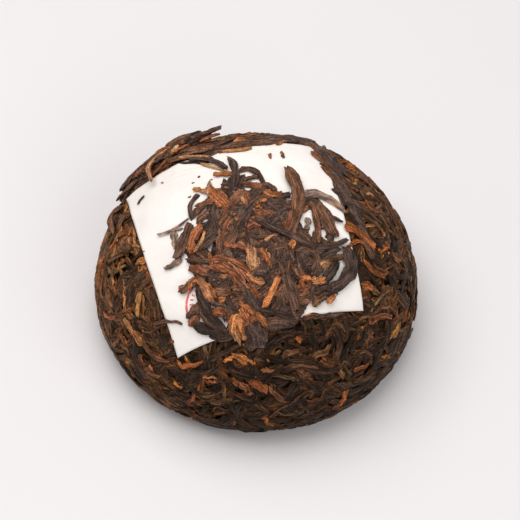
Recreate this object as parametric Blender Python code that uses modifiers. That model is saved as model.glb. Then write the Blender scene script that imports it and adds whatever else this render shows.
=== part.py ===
"""A tuocha: a bowl-shaped cake of pressed dark tea, standing on its rim with the crown up.

The tea is one solid, a turned core with pressed leaf strips fused on at their real size. A square
paper ticket lies on the crown, pressed in under a patch of strips that crosses its middle.
Metres, +Z up. The origin is on the axis, on the plane that the rim stands on.
"""

import math

import bmesh
import bpy
import numpy as np

# The pressed form, as it is where the leaf strips are highest.
RADIUS = 0.0408  # at the widest ring
WIDEST_HEIGHT = 0.0095  # of the widest ring above the rim
CROWN_RISE = 0.0366  # from the widest ring to the crown
RIM_ROUND = 0.0090  # how far the outer side turns in on its way down to the rim
RIM_FLAT = 0.0042  # width of the flat ring that the cake stands on
HOLLOW_RADIUS = 0.0240  # of the hollow underneath, above its rounded lip
HOLLOW_LIP = 0.0040  # height of that rounded lip
HOLLOW_RISE = 0.0200  # from the lip to the hollow's top
WIDEST_CENTRE = np.array([0.0, 0.0, WIDEST_HEIGHT])

# The core under the strips.
STRIP_DEPTH = 0.0010  # from the strips' tops down to the core
CORE_SIDES = 28
CROWN_STEPS = 7
ROUND_STEPS = 3
LIP_STEPS = 2
HOLLOW_STEPS = 4
RELIEF = 0.00030  # height of the core's bumps between the strips
RELIEF_WAVES = 9  # of those bumps round the cake
RELIEF_PITCH = 0.0100  # from bump to bump up the side

# The loose tuft at the back left, where strips stand off the side.
TUFT_AT = (-0.0210, 0.0225)
TUFT_REACH = 0.0085
TUFT_RISE = 0.0022

# The paper ticket, a square that is turned a little and bulges with the crown.
TICKET_AT = (-0.0030, -0.0030)
TICKET_HALF = 0.0235  # half a side, seen from above
TICKET_BULGE = 0.035  # share by which a side bows out in its middle
TICKET_TURN = math.radians(16.0)
TICKET_THICK = 0.0003
TICKET_STEPS = 8
TICKET_WAVE = 0.0001
SLOT_GAP = 0.0003  # kept free on every side of the paper
BED_DEPTH = 0.00055  # from the pressed surface down to the core under the paper
BED_REACH = 1.08  # the bed's side, as a share of the paper's

# The patch of strips over the paper: a thin mat, and how far it reaches every 22.5 degrees from +X.
PATCH_AT = np.array([0.0010, -0.0110])
PATCH_REACH = np.array([23, 22, 19, 13, 14.5, 17, 18, 18.5, 18, 18, 20, 24, 24, 21, 16, 19]) / 1000
PATCH_RISE = 0.0013
PATCH_SIDES = 32
PATCH_RINGS = 3
PATCH_SHOULDER = 1.12  # how far out the mat's top ring stands, over a round ball's

# The strips: rolled leaves, pressed flat.
LONG_RINGS = 4  # sections along a strip that is placed by itself
SHORT_RINGS = 3  # and along one of the many
STRIP_END = 0.40  # width of a strip's end, as a share of its middle's
TOP_SHARE = 0.72  # width of a strip's flat top, as a share of its foot's
STRIP_ROOT = 0.0026  # how far a strip's foot reaches below the surface it lies on
STRIP_THICK = 0.0013
LOWEST_STRIP = 0.0014  # of a strip's middle line, above the rim
GOLDEN_ANGLE = math.pi * (3.0 - math.sqrt(5.0))
SEED = 7

CROWN_STRIPS = 134
CROWN_LENGTH = (0.011, 0.019)
CROWN_WIDTH = (0.0024, 0.0036)
CROWN_THICK = (0.0010, 0.0015)
CROWN_SINK = (-0.0006, -0.0001)  # of a strip's middle against the pressed surface
CROWN_BOW = 0.0012
SIDE_LEAN = 0.35  # radians by which strips low on the side stray from lying round the cake
CROWN_LEAN = 1.2  # and how much more they stray on the crown
LOWEST_SHARE = 0.75  # how far below the widest ring strips lie, as a share of its height

PATCH_STRIPS = 22
PATCH_FILL = 0.86  # how far out on the patch its strips' middles lie
PATCH_LENGTH = (8.0, 14.0)  # this and the next three are in millimetres
PATCH_WIDTH = (1.6, 3.0)
PATCH_STAND = (0.9, 1.5)
PATCH_BOW = 0.7

HOLLOW_STRIPS = 12
HOLLOW_LENGTH = (0.008, 0.012)
HOLLOW_WIDTH = (0.0018, 0.0028)
HOLLOW_THICK = 0.0010
HOLLOW_LEAN = 0.5
HOLLOW_BAND = (0.25, 0.90)  # heights in the hollow between which strips lie, as shares of its rise

TEA_BROWN = (0.052, 0.033, 0.022, 1.0)
TEA_ROUGHNESS = 0.7
PAPER_WHITE = (0.90, 0.87, 0.82, 1.0)
PAPER_ROUGHNESS = 0.9


def clear_scene():
    for thing in list(bpy.data.objects):
        bpy.data.objects.remove(thing, do_unlink=True)


def material(name, colour, roughness):
    made = bpy.data.materials.new(name)
    made.use_nodes = True
    shader = made.node_tree.nodes["Principled BSDF"]
    shader.inputs["Base Color"].default_value = colour
    shader.inputs["Roughness"].default_value = roughness
    shader.inputs["Metallic"].default_value = 0.0
    return made


def collection(name):
    made = bpy.data.collections.new(name)
    bpy.context.scene.collection.children.link(made)
    return made


def placed(name, shell, points, home):
    """An object of the shell's faces, with its vertices at the points, facing outwards."""
    for vertex, point in zip(shell.verts, points):
        vertex.co = point
    bmesh.ops.recalc_face_normals(shell, faces=shell.faces)
    mesh = bpy.data.meshes.new(name)
    shell.to_mesh(mesh)
    shell.free()
    made = bpy.data.objects.new(name, mesh)
    home.objects.link(made)
    return made


def apply_modifiers(thing):
    depsgraph = bpy.context.evaluated_depsgraph_get()
    baked = bpy.data.meshes.new_from_object(thing.evaluated_get(depsgraph))
    thing.modifiers.clear()
    thing.data = baked


def unit(vectors):
    return vectors / np.maximum(np.linalg.norm(vectors, axis=-1, keepdims=True), 1e-12)


def on_cake(points):
    """Points near the outside, drawn to the pressed surface, and its normals there.

    Above the widest ring the surface is half an ellipsoid, and below it a quarter-ellipse rounds
    the side in to the rim.
    """
    from_axis = points - WIDEST_CENTRE
    reach = np.maximum(np.hypot(from_axis[..., 0], from_axis[..., 1]), 1e-9)
    height = from_axis[..., 2]
    spread = np.sqrt((reach / RADIUS) ** 2 + (height / CROWN_RISE) ** 2)
    crown = from_axis / spread[..., None]
    crown_normal = crown / np.array([RADIUS**2, RADIUS**2, CROWN_RISE**2])
    drop = np.clip(-height / WIDEST_HEIGHT, 0.0, 0.999)
    inward = np.sqrt(1.0 - drop**2)
    outwards = from_axis[..., :2] / reach[..., None]
    side_reach = RADIUS - RIM_ROUND + RIM_ROUND * inward
    side = np.concatenate([outwards * side_reach[..., None], -drop[..., None] * WIDEST_HEIGHT], -1)
    side_normal = np.concatenate(
        [outwards * (inward / RIM_ROUND)[..., None], -(drop / WIDEST_HEIGHT)[..., None]], -1
    )
    above = (height >= 0.0)[..., None]
    surface = np.where(above, crown, side) + WIDEST_CENTRE
    return surface, unit(np.where(above, crown_normal, side_normal))


def on_crown(x, y):
    """Points of the crown straight above places on the plan, and the normals there."""
    share = np.clip(1.0 - (np.square(x) + np.square(y)) / RADIUS**2, 0.0, 1.0)
    points = np.stack([x, y, WIDEST_HEIGHT + CROWN_RISE * np.sqrt(share)], -1)
    return on_cake(points)


def in_hollow(points):
    """Points drawn to the hollow's wall, half an ellipsoid above the lip, and normals into the hollow."""
    base = np.array([0.0, 0.0, HOLLOW_LIP])
    size = np.array([HOLLOW_RADIUS, HOLLOW_RADIUS, HOLLOW_RISE])
    from_lip = points - base
    wall = from_lip / np.linalg.norm(from_lip / size, axis=-1, keepdims=True)
    return wall + base, unit(-wall / size**2)


def ticket_plan(across, along):
    """Plan places of the ticket, for across and along from -1 to 1 over its square."""
    bow_x = across * (1.0 + TICKET_BULGE * (1.0 - along**2)) * TICKET_HALF
    bow_y = along * (1.0 + TICKET_BULGE * (1.0 - across**2)) * TICKET_HALF
    turn, lean = math.cos(TICKET_TURN), math.sin(TICKET_TURN)
    return TICKET_AT[0] + bow_x * turn - bow_y * lean, TICKET_AT[1] + bow_x * lean + bow_y * turn


def ticket_share(points):
    """How far out points are on the ticket, seen from above: 0 at its middle, 1 at its edge."""
    turn, lean = math.cos(TICKET_TURN), math.sin(TICKET_TURN)
    dx, dy = points[..., 0] - TICKET_AT[0], points[..., 1] - TICKET_AT[1]
    across = np.abs(dx * turn + dy * lean) / TICKET_HALF
    along = np.abs(dy * turn - dx * lean) / TICKET_HALF
    bow = 1.0 + TICKET_BULGE * (1.0 - np.clip(np.minimum(across, along), 0.0, 1.0) ** 2)
    return np.maximum(across, along) / bow


def patch_reach(angle):
    """The patch's outline: its reach at an angle round its middle, smoothed between the named values."""
    place = np.mod(angle / (2 * math.pi), 1.0) * len(PATCH_REACH)
    first = np.floor(place).astype(int) % len(PATCH_REACH)
    blend = (1.0 - np.cos((place - np.floor(place)) * math.pi)) / 2
    ahead = (first + 1) % len(PATCH_REACH)
    return PATCH_REACH[first] * (1.0 - blend) + PATCH_REACH[ahead] * blend


def quarter_ellipse(centre_r, centre_z, half_r, half_z, turns, steps):
    """Profile points round part of an ellipse, from the first to the second of turns, a quarter being 1."""
    angles = np.linspace(turns[0], turns[1], steps + 1) * math.pi / 2
    return [(centre_r + half_r * math.cos(a), centre_z + half_z * math.sin(a)) for a in angles]


def core_profile():
    """From the crown down the outside, under the rim and up the hollow, as radius and height."""
    reach = RADIUS - STRIP_DEPTH
    rise = CROWN_RISE - STRIP_DEPTH
    foot = RADIUS - RIM_ROUND
    lip = foot - RIM_FLAT
    wide = HOLLOW_RADIUS + STRIP_DEPTH / 2
    tall = HOLLOW_RISE + STRIP_DEPTH / 2
    outside = quarter_ellipse(0.0, WIDEST_HEIGHT, reach, rise, (1.0, 0.0), CROWN_STEPS)
    rounding = quarter_ellipse(foot, WIDEST_HEIGHT, reach - foot, WIDEST_HEIGHT, (0.0, -1.0), ROUND_STEPS)
    inner_lip = quarter_ellipse(lip, HOLLOW_LIP, lip - wide, HOLLOW_LIP, (-1.0, -2.0), LIP_STEPS)
    hollow = quarter_ellipse(0.0, HOLLOW_LIP, wide, tall, (0.0, 1.0), HOLLOW_STEPS)
    return outside + rounding[1:] + inner_lip + hollow[1:]


def core(home):
    """The turned core, bumpy between the strips, raised under the paper and under the loose tuft."""
    profile = core_profile()
    mesh = bpy.data.meshes.new("core_profile")
    mesh.from_pydata([(r, 0.0, z) for r, z in profile], [(i, i + 1) for i in range(len(profile) - 1)], [])
    made = bpy.data.objects.new("tea_body", mesh)
    home.objects.link(made)
    turned = made.modifiers.new("turn", "SCREW")
    turned.axis = "Z"
    turned.steps = CORE_SIDES
    turned.render_steps = CORE_SIDES
    turned.use_merge_vertices = True
    turned.merge_threshold = 0.00005
    apply_modifiers(made)

    points = np.array([vertex.co for vertex in made.data.vertices])
    surface, normals = on_cake(points)
    depth = np.linalg.norm(points - surface, axis=1)
    outside = (depth < 2 * STRIP_DEPTH) & (points[:, 2] > LOWEST_STRIP)
    angle = np.arctan2(points[:, 1], points[:, 0])
    climb = points[:, 2] * 2 * math.pi / RELIEF_PITCH
    bumps = RELIEF * np.sin(RELIEF_WAVES * angle + climb) * np.cos(climb / 2 + 2 * angle)
    crown = points[:, 2] > WIDEST_HEIGHT
    under_paper = crown & (ticket_share(points) < BED_REACH)
    tuft = crown * TUFT_RISE * np.exp(-(((points[:, :2] - TUFT_AT) / TUFT_REACH) ** 2).sum(1))
    lift = outside * np.where(under_paper, STRIP_DEPTH - BED_DEPTH, bumps + tuft)
    for vertex, place in zip(made.data.vertices, points + normals * lift[:, None]):
        vertex.co = place
    return made


def strip(name, line, normals, width, thick, rise, tilt, home):
    """One pressed leaf: a flat-topped ridge carried along its line and drawn in at both ends.

    rise is how far its middle stands above the surface it lies on, and tilt how far one edge of
    its top stands above that, from -1 to 1. Its foot goes down into what it lies on.
    """
    rings, sides = len(line), 4
    across = unit(np.cross(np.gradient(line, axis=0), normals))
    outness = np.linspace(-1.0, 1.0, rings)[:, None] ** 2
    half = across * width / 2 * (1.0 - (1.0 - STRIP_END) * outness)
    top = normals * (rise + thick * (0.5 - 0.6 * outness))
    lean = normals * thick * tilt / 4
    foot = -normals * STRIP_ROOT
    corners = [
        line - half + foot,
        line + half + foot,
        line + half * TOP_SHARE + top + lean,
        line - half * TOP_SHARE + top - lean,
    ]
    points = np.stack(corners, 1).reshape(-1, 3)
    shell = bmesh.new()
    vertices = [shell.verts.new(point) for point in points]
    sections = [vertices[r * sides:(r + 1) * sides] for r in range(rings)]
    for near, far in zip(sections, sections[1:]):
        for k in range(sides):
            ahead = (k + 1) % sides
            shell.faces.new((near[k], near[ahead], far[ahead], far[k]))
    shell.faces.new(sections[0])
    shell.faces.new(sections[-1])
    return placed(name, shell, points, home)


def placed_strip(name, start, end, bow, width, stand, home):
    """A strip laid on the crown from start to end on the plan, bowed sideways, all in millimetres."""
    share = np.linspace(0.0, 1.0, LONG_RINGS)[:, None]
    chord = np.subtract(end, start)
    side = np.array([-chord[1], chord[0]]) / np.hypot(*chord)
    plan = (start + chord * share + side * bow * 4 * share * (1 - share)) / 1000
    line, normals = on_crown(plan[:, 0], plan[:, 1])
    strip(name, line, normals, width / 1000, STRIP_THICK, stand / 1000, 0.5, home)


def strips_over_the_paper(home):
    """The strips that reach over the paper's white corners from the patch."""
    placed_strip("top_leaf", (-8.5, 14), (-6, 5), 0.7, 2.0, 1.3, home)
    placed_strip("rim_tongue", (-19.5, 19), (-9, 10.5), 1.2, 1.7, 1.1, home)
    placed_strip("top_arch", (-6.5, 8), (1, 3), 1.9, 1.6, 1.2, home)
    placed_strip("long_top", (6.5, 11.5), (8, -8), 1.2, 2.6, 1.4, home)
    placed_strip("right_olive", (9.5, 2), (24, -1), 1.7, 1.9, 1.1, home)
    placed_strip("folded_leaf", (12.5, 0.5), (16.5, -8.5), 0.6, 3.4, 1.2, home)
    placed_strip("long_cross", (-1, -6.5), (14.5, -11.5), -0.6, 1.8, 1.6, home)
    placed_strip("cross_end", (12.5, -11.5), (24, -6), -1.0, 1.5, 1.3, home)
    placed_strip("orange_pin", (-16.5, 4), (-10.5, 1.5), 0.1, 1.1, 1.2, home)
    placed_strip("grey_pin", (-12.5, 5.5), (-13, -2), 0.1, 1.2, 1.4, home)
    placed_strip("curled_dark", (-15.5, 2), (-15.5, -5.5), -1.2, 1.5, 1.1, home)
    placed_strip("stem", (-24.5, -7), (-16, -4.5), -1.1, 0.9, 1.2, home)
    placed_strip("left_bark", (-16.5, -5.5), (-19.5, -13.5), 0.3, 2.6, 1.2, home)
    placed_strip("twig_stub", (-22, -15.5), (-16.5, -14), -0.3, 1.5, 1.2, home)
    placed_strip("low_twig", (-18.5, -21.5), (-12.5, -19), -0.2, 2.0, 1.2, home)
    placed_strip("low_brown", (-13, -23.5), (-16.5, -29), -0.1, 2.4, 1.1, home)
    placed_strip("low_black", (-15.5, -28), (-5, -32), -0.6, 1.9, 1.2, home)
    placed_strip("black_long", (-14, -21.5), (-4, -31.5), -0.7, 2.3, 1.6, home)
    placed_strip("edge_twig", (-26.5, -25.5), (-17, -28), 0.3, 1.3, 0.9, home)
    placed_strip("ring_outer", (21, -9), (13.5, -21), 3.7, 2.8, 1.2, home)
    placed_strip("ring_inner", (20.5, -12), (15, -18.5), 0.1, 1.6, 1.2, home)
    placed_strip("low_olive", (11.5, -25.5), (18.5, -20.5), 0.1, 1.6, 1.1, home)
    placed_strip("purple_bar", (5.5, -19), (9, -28), 0.2, 1.9, 1.7, home)


def strips_round_the_paper(home):
    """The strips that cover the paper's back and right edges, and the loose tuft behind them."""
    placed_strip("back_edge_left", (-32, 15), (-16.5, 17), 0.8, 2.4, 0.9, home)
    placed_strip("back_edge_middle", (-15.5, 16.5), (-2.5, 20.5), -0.6, 2.6, 0.9, home)
    placed_strip("back_edge_right", (0.5, 22), (14, 24), 0.9, 2.6, 0.9, home)
    placed_strip("right_edge_back", (13, 22.5), (17.5, 9.5), 0.8, 2.6, 0.9, home)
    placed_strip("right_edge_front", (17.5, 10.5), (21.5, -1.5), 0.6, 2.6, 0.9, home)
    placed_strip("tuft_low", (-31, 16.5), (-20.5, 22.5), 1.2, 2.2, 1.6, home)
    placed_strip("tuft_high", (-23.5, 21), (-12, 25), 0.8, 2.4, 2.0, home)
    placed_strip("tuft_tip", (-19, 22), (-10.5, 25.5), -0.4, 1.5, 2.6, home)


def patch_mat(home):
    """The mat that carries the patch: a flattened ball, its equator on the patch's outline.

    Its upper half stands over the paper, and its lower half is rooted in the core.
    """
    shell = bmesh.new()
    bmesh.ops.create_uvsphere(shell, u_segments=PATCH_SIDES, v_segments=2 * PATCH_RINGS, radius=1.0)
    ball = np.array([vertex.co for vertex in shell.verts])
    angle = np.arctan2(ball[:, 1], ball[:, 0])
    share = np.minimum(np.hypot(ball[:, 0], ball[:, 1]) * PATCH_SHOULDER, 1.0)
    reach = patch_reach(angle) * share
    x = PATCH_AT[0] + reach * np.cos(angle)
    y = PATCH_AT[1] + reach * np.sin(angle)
    surface, normals = on_crown(x, y)
    equator = 0.1
    lift = np.where(ball[:, 2] > equator, PATCH_RISE * (1.0 - share**4 / 3), -STRIP_ROOT)
    return placed("patch_mat", shell, surface + normals * lift[:, None], home)


def crown_strips(home, draw):
    """Strips spread evenly over the outside, lying round the cake low down and more every way on top."""
    lowest = WIDEST_HEIGHT * (1.0 - LOWEST_SHARE)
    highest = WIDEST_HEIGHT + CROWN_RISE
    share_along = np.linspace(-0.5, 0.5, SHORT_RINGS)[:, None]
    for i in range(CROWN_STRIPS):
        height = highest - (i + 0.5) / CROWN_STRIPS * (highest - lowest)
        above = max(height - WIDEST_HEIGHT, 0.0) / CROWN_RISE
        reach = RADIUS * math.sqrt(1.0 - above**2)
        angle = i * GOLDEN_ANGLE
        centre, normal = on_cake(np.array([reach * math.cos(angle), reach * math.sin(angle), height]))
        round_way = np.array([-math.sin(angle), math.cos(angle), 0.0])
        lean = draw.normal(0.0, SIDE_LEAN + CROWN_LEAN * above)
        heading = round_way * math.cos(lean) + np.cross(round_way, normal) * math.sin(lean)
        bow = draw.normal(0.0, CROWN_BOW) * (1.0 - 4.0 * share_along**2)
        along = heading * draw.uniform(*CROWN_LENGTH) * share_along
        line, normals = on_cake(centre + along + np.cross(normal, heading) * bow)
        width = draw.uniform(*CROWN_WIDTH)
        thick = draw.uniform(*CROWN_THICK)
        sink = draw.uniform(*CROWN_SINK)
        tilt = draw.uniform(-1.0, 1.0)
        on_paper = np.count_nonzero(ticket_share(line) < 1.0) > 1 and height > WIDEST_HEIGHT
        if not on_paper and line[:, 2].min() > LOWEST_STRIP:
            strip(f"crown_{i:03d}", line, normals, width, thick, sink, tilt, home)


def patch_strips(home, draw):
    """Strips lying every way on the patch, inside its outline."""
    for i in range(PATCH_STRIPS):
        angle = i * GOLDEN_ANGLE
        reach = PATCH_FILL * patch_reach(angle) * math.sqrt((i + 0.5) / PATCH_STRIPS)
        middle = (PATCH_AT + reach * np.array([math.cos(angle), math.sin(angle)])) * 1000
        heading = draw.uniform(0.0, math.pi)
        step = np.array([math.cos(heading), math.sin(heading)]) * draw.uniform(*PATCH_LENGTH) / 2
        bow = draw.normal(0.0, PATCH_BOW)
        width = draw.uniform(*PATCH_WIDTH)
        stand = draw.uniform(*PATCH_STAND)
        placed_strip(f"patch_{i:02d}", middle - step, middle + step, bow, width, stand, home)


def hollow_strips(home, draw):
    """Strips pressed into the hollow's wall."""
    share_along = np.linspace(-0.5, 0.5, SHORT_RINGS)[:, None]
    for i in range(HOLLOW_STRIPS):
        angle = i * GOLDEN_ANGLE
        share = HOLLOW_BAND[0] + (HOLLOW_BAND[1] - HOLLOW_BAND[0]) * (i + 0.5) / HOLLOW_STRIPS
        reach = HOLLOW_RADIUS * math.sqrt(1.0 - share**2)
        height = HOLLOW_LIP + HOLLOW_RISE * share
        centre, normal = in_hollow(np.array([reach * math.cos(angle), reach * math.sin(angle), height]))
        round_way = np.array([-math.sin(angle), math.cos(angle), 0.0])
        lean = draw.normal(0.0, HOLLOW_LEAN)
        heading = round_way * math.cos(lean) + np.cross(round_way, normal) * math.sin(lean)
        line, normals = in_hollow(centre + heading * draw.uniform(*HOLLOW_LENGTH) * share_along)
        width = draw.uniform(*HOLLOW_WIDTH)
        strip(f"hollow_{i:02d}", line, normals, width, HOLLOW_THICK, 0.0, 0.0, home)


def sheet(name, reach, lift, thick, home):
    """A thin wavy sheet over the crown: an open grid, split into triangles, given its thickness.

    reach is its half side as a share of the paper's, and lift its underside's height above the
    pressed surface.
    """
    shell = bmesh.new()
    bmesh.ops.create_grid(shell, x_segments=TICKET_STEPS, y_segments=TICKET_STEPS, size=reach)
    bmesh.ops.triangulate(shell, faces=shell.faces)
    across, along, _ = np.array([vertex.co for vertex in shell.verts]).T
    surface, normals = on_crown(*ticket_plan(across, along))
    wave = TICKET_WAVE * np.sin(4.0 * across + 1.0) * np.sin(5.0 * along)
    made = placed(name, shell, surface + normals * (lift + wave)[:, None], home)
    if made.data.polygons[0].normal.z < 0.0:
        made.data.flip_normals()
    wall = made.modifiers.new("thickness", "SOLIDIFY")
    wall.thickness = thick
    wall.offset = 1.0
    wall.use_even_offset = False
    return made


def join_strips(body, strips):
    """One Boolean union of the core with every strip, applied, and the strips removed."""
    joined = body.modifiers.new("strips", "BOOLEAN")
    joined.operation = "UNION"
    joined.operand_type = "COLLECTION"
    joined.collection = strips
    joined.solver = "MANIFOLD"
    apply_modifiers(body)
    for piece in list(strips.objects):
        bpy.data.objects.remove(piece, do_unlink=True)


def cut_slot(body, cutters):
    """The slot that the paper is pressed into, wider than the paper by the gap on every side."""
    slot_reach = 1.0 + SLOT_GAP / TICKET_HALF
    slot = sheet("slot", slot_reach, -SLOT_GAP, TICKET_THICK + 2 * SLOT_GAP, cutters)
    slot.hide_render = True
    slot.display_type = "WIRE"
    cut = body.modifiers.new("slot", "BOOLEAN")
    cut.operation = "DIFFERENCE"
    cut.object = slot
    cut.solver = "MANIFOLD"
    apply_modifiers(body)


def keep_largest_shell(thing):
    """Only the largest closed shell stays, which fills sealed hollows and drops loose scraps."""
    mesh = bmesh.new()
    mesh.from_mesh(thing.data)
    unseen = set(mesh.faces)
    shells = []
    while unseen:
        shell = []
        front = [unseen.pop()]
        while front:
            face = front.pop()
            shell.append(face)
            near = {other for edge in face.edges for other in edge.link_faces} & unseen
            unseen -= near
            front.extend(near)
        shells.append(shell)
    shells.sort(key=len)
    scraps = [face for shell in shells[:-1] for face in shell]
    bmesh.ops.delete(mesh, geom=scraps, context="FACES")
    mesh.to_mesh(thing.data)
    mesh.free()


def build():
    clear_scene()
    parts = collection("tuocha")
    strips = collection("strips")
    cutters = collection("cutters")
    draw = np.random.default_rng(SEED)

    body = core(parts)
    patch_mat(strips)
    strips_over_the_paper(strips)
    strips_round_the_paper(strips)
    crown_strips(strips, draw)
    patch_strips(strips, draw)
    hollow_strips(strips, draw)
    join_strips(body, strips)
    cut_slot(body, cutters)
    keep_largest_shell(body)
    body.data.materials.append(material("dark_tea", TEA_BROWN, TEA_ROUGHNESS))

    paper = sheet("paper_ticket", 1.0, 0.0, TICKET_THICK, parts)
    paper.data.materials.append(material("ticket_paper", PAPER_WHITE, PAPER_ROUGHNESS))


build()
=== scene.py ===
"""A tuocha: a bowl-shaped cake of pressed dark tea, with a square paper ticket pressed into its crown.

The script follows the cake as it is put together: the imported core, the paper, the leaf strips by kind, and
then the strips that lie over the paper. Metres, +Z up. The origin is on the axis, in the plane of the rim.
"""

import math

import bpy
import numpy as np
from mathutils import Matrix, Vector


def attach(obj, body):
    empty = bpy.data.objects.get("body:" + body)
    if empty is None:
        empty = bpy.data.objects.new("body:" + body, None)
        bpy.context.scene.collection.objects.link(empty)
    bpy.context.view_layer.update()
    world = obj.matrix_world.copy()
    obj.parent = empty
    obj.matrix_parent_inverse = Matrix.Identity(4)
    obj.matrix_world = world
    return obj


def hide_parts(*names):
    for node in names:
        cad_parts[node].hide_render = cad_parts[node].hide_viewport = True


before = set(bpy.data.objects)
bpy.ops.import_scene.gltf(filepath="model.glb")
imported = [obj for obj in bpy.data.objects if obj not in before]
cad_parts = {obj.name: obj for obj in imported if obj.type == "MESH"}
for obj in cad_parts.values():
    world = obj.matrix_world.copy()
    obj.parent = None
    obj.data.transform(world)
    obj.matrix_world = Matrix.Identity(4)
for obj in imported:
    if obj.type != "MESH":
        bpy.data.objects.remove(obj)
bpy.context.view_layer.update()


# The pressed cake. Steamed leaf is squeezed in a bag to a bowl: a round crown, a side that turns in to a flat
# rim, and a hollow underneath. Its dense dark core shows only in the gaps between the strips.
CAKE_RADIUS = 0.0408
WIDEST_HEIGHT = 0.0095
CROWN_RISE = 0.0366
RIM_ROUND = 0.0090
RIM_FLAT = 0.0042
HOLLOW_RADIUS = 0.0240
HOLLOW_LIP = 0.0040
HOLLOW_RISE = 0.0200
ARC_STEPS = 240
SKIN_STEPS = 600
RANDOM_TURN = 6.28  # a full turn, near enough for a random angle
BUMP_WAVES = 12
BUMP_FINENESS = (0.6, 1.5)  # how many times as fine as the pitch each wave may be
BUMP_HEIGHT = 3.5  # about as high as that many waves add up
CORE_DEPTH = 0.0014
CORE_RELIEF = 0.0003
CORE_PITCH = 0.006
CORE_RINGS = 110
CORE_SIDES = 130
CORE_SHADES = [(0.25, (0.008, 0.005, 0.003)), (0.55, (0.024, 0.013, 0.007)), (0.80, (0.060, 0.031, 0.014))]


def half_section():
    """Half the cake's section, from the crown down the side, across the rim and up into the hollow.

    Each arc is its centre plus its half-axes times the sine and cosine of a quarter turn. The steps are then
    made even along the line, and the outward normal is the line's direction turned a quarter.
    """
    quarter = np.linspace(0.0, math.pi / 2, ARC_STEPS)
    sine, cosine = np.sin(quarter), np.cos(quarter)
    foot = CAKE_RADIUS - RIM_ROUND
    inner = foot - RIM_FLAT
    radius = [
        CAKE_RADIUS * sine,
        foot + RIM_ROUND * cosine,
        inner - (inner - HOLLOW_RADIUS) * sine,
        HOLLOW_RADIUS * cosine,
    ]
    height = [
        WIDEST_HEIGHT + CROWN_RISE * cosine,
        WIDEST_HEIGHT * (1.0 - sine),
        HOLLOW_LIP * (1.0 - cosine),
        HOLLOW_LIP + HOLLOW_RISE * sine,
    ]
    line = np.stack([np.concatenate(radius), np.concatenate(height)], -1)
    run = np.concatenate([[0.0], np.cumsum(np.linalg.norm(np.diff(line, axis=0), axis=1))])
    even = np.linspace(0.0, run[-1], SKIN_STEPS)
    line = np.stack([np.interp(even, run, line[:, 0]), np.interp(even, run, line[:, 1])], -1)
    ahead = np.gradient(line, even, axis=0)
    ahead /= np.linalg.norm(ahead, axis=1, keepdims=True)
    return line, np.stack([-ahead[:, 1], ahead[:, 0]], -1), even


skin, skin_normal, skin_run = half_section()
skin_steps = np.arange(SKIN_STEPS)


def on_cake(points):
    """Draws points to the nearest place on the cake's skin, and gives the outward normals there.

    The nearest step of the half section is found by radius and height. The place then slides along the
    section's line to the foot of the perpendicular, and is turned back to the point's own angle round the
    axis.
    """
    flat = points.reshape(-1, 3)
    reach = np.maximum(np.hypot(flat[:, 0], flat[:, 1]), 1e-7)
    gap_r = reach[:, None] - skin[:, 0]
    gap_z = flat[:, 2:] - skin[:, 1]
    step = (gap_r**2 + gap_z**2).argmin(1)
    row = np.arange(len(flat))
    slide = gap_r[row, step] * skin_normal[step, 1] - gap_z[row, step] * skin_normal[step, 0]
    run = skin_run[step] + slide
    radius, height, normal_r, normal_z = (
        np.interp(run, skin_run, column) for column in (*skin.T, *skin_normal.T)
    )
    out_x, out_y = flat[:, 0] / reach, flat[:, 1] / reach
    surface = np.stack([out_x * radius, out_y * radius, height], -1)
    normals = np.stack([out_x * normal_r, out_y * normal_r, normal_z], -1)
    return surface.reshape(points.shape), normals.reshape(points.shape)


def bumps(points, pitch, seed):
    """Smooth bumps between about -1 and 1: sine waves of about this pitch, in random directions, added up."""
    draw = np.random.default_rng(seed)
    way = draw.normal(0.0, 1.0, (BUMP_WAVES, 3))
    way *= (draw.uniform(*BUMP_FINENESS, BUMP_WAVES) / np.linalg.norm(way, axis=1))[:, None]
    waves = np.sin(points @ way.T * (2 * math.pi / pitch) + draw.uniform(0.0, RANDOM_TURN, BUMP_WAVES))
    return waves.sum(-1) / BUMP_HEIGHT


def tube_faces(count, rings, sides):
    """The faces of closed tubes, each of so many rings of so many points, and then one point for each end.

    Four-cornered faces join each ring to the next, and three-cornered ones close the ends. Each tube's
    corners are the first tube's, plus the number of points in the tubes before it.
    """
    ring, side = np.meshgrid(np.arange(rings - 1), np.arange(sides), indexing="ij")
    here, beside = ring * sides + side, ring * sides + (side + 1) % sides
    walls = np.stack([here, beside, beside + sides, here + sides], -1)
    side = np.arange(sides)
    beside = (side + 1) % sides
    last = (rings - 1) * sides
    near = np.stack([beside, side, np.full(sides, rings * sides)], -1)
    far = np.stack([last + side, last + beside, np.full(sides, rings * sides + 1)], -1)
    start = np.arange(count)[:, None, None] * (rings * sides + 2)
    fours = (walls.reshape(1, -1, 4) + start).reshape(-1, 4)
    threes = (np.concatenate([near, far])[None] + start).reshape(-1, 3)
    return fours, threes


def put_mesh(name, points, fours, threes):
    """Puts whole arrays of points, four-cornered faces and three-cornered faces into a smooth mesh object."""
    mesh = bpy.data.meshes.new(name)
    corners = np.concatenate([fours.ravel(), threes.ravel()]).astype(np.int32)
    starts = np.concatenate([np.arange(len(fours)) * 4, len(fours) * 4 + np.arange(len(threes)) * 3])
    mesh.vertices.add(len(points))
    mesh.vertices.foreach_set("co", points.astype(np.float32).ravel())
    mesh.loops.add(len(corners))
    mesh.loops.foreach_set("vertex_index", corners)
    mesh.polygons.add(len(starts))
    mesh.polygons.foreach_set("loop_start", starts.astype(np.int32))
    mesh.update(calc_edges=True)
    mesh.shade_smooth()
    made = bpy.data.objects.new(name, mesh)
    bpy.context.scene.collection.objects.link(made)
    return made


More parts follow.
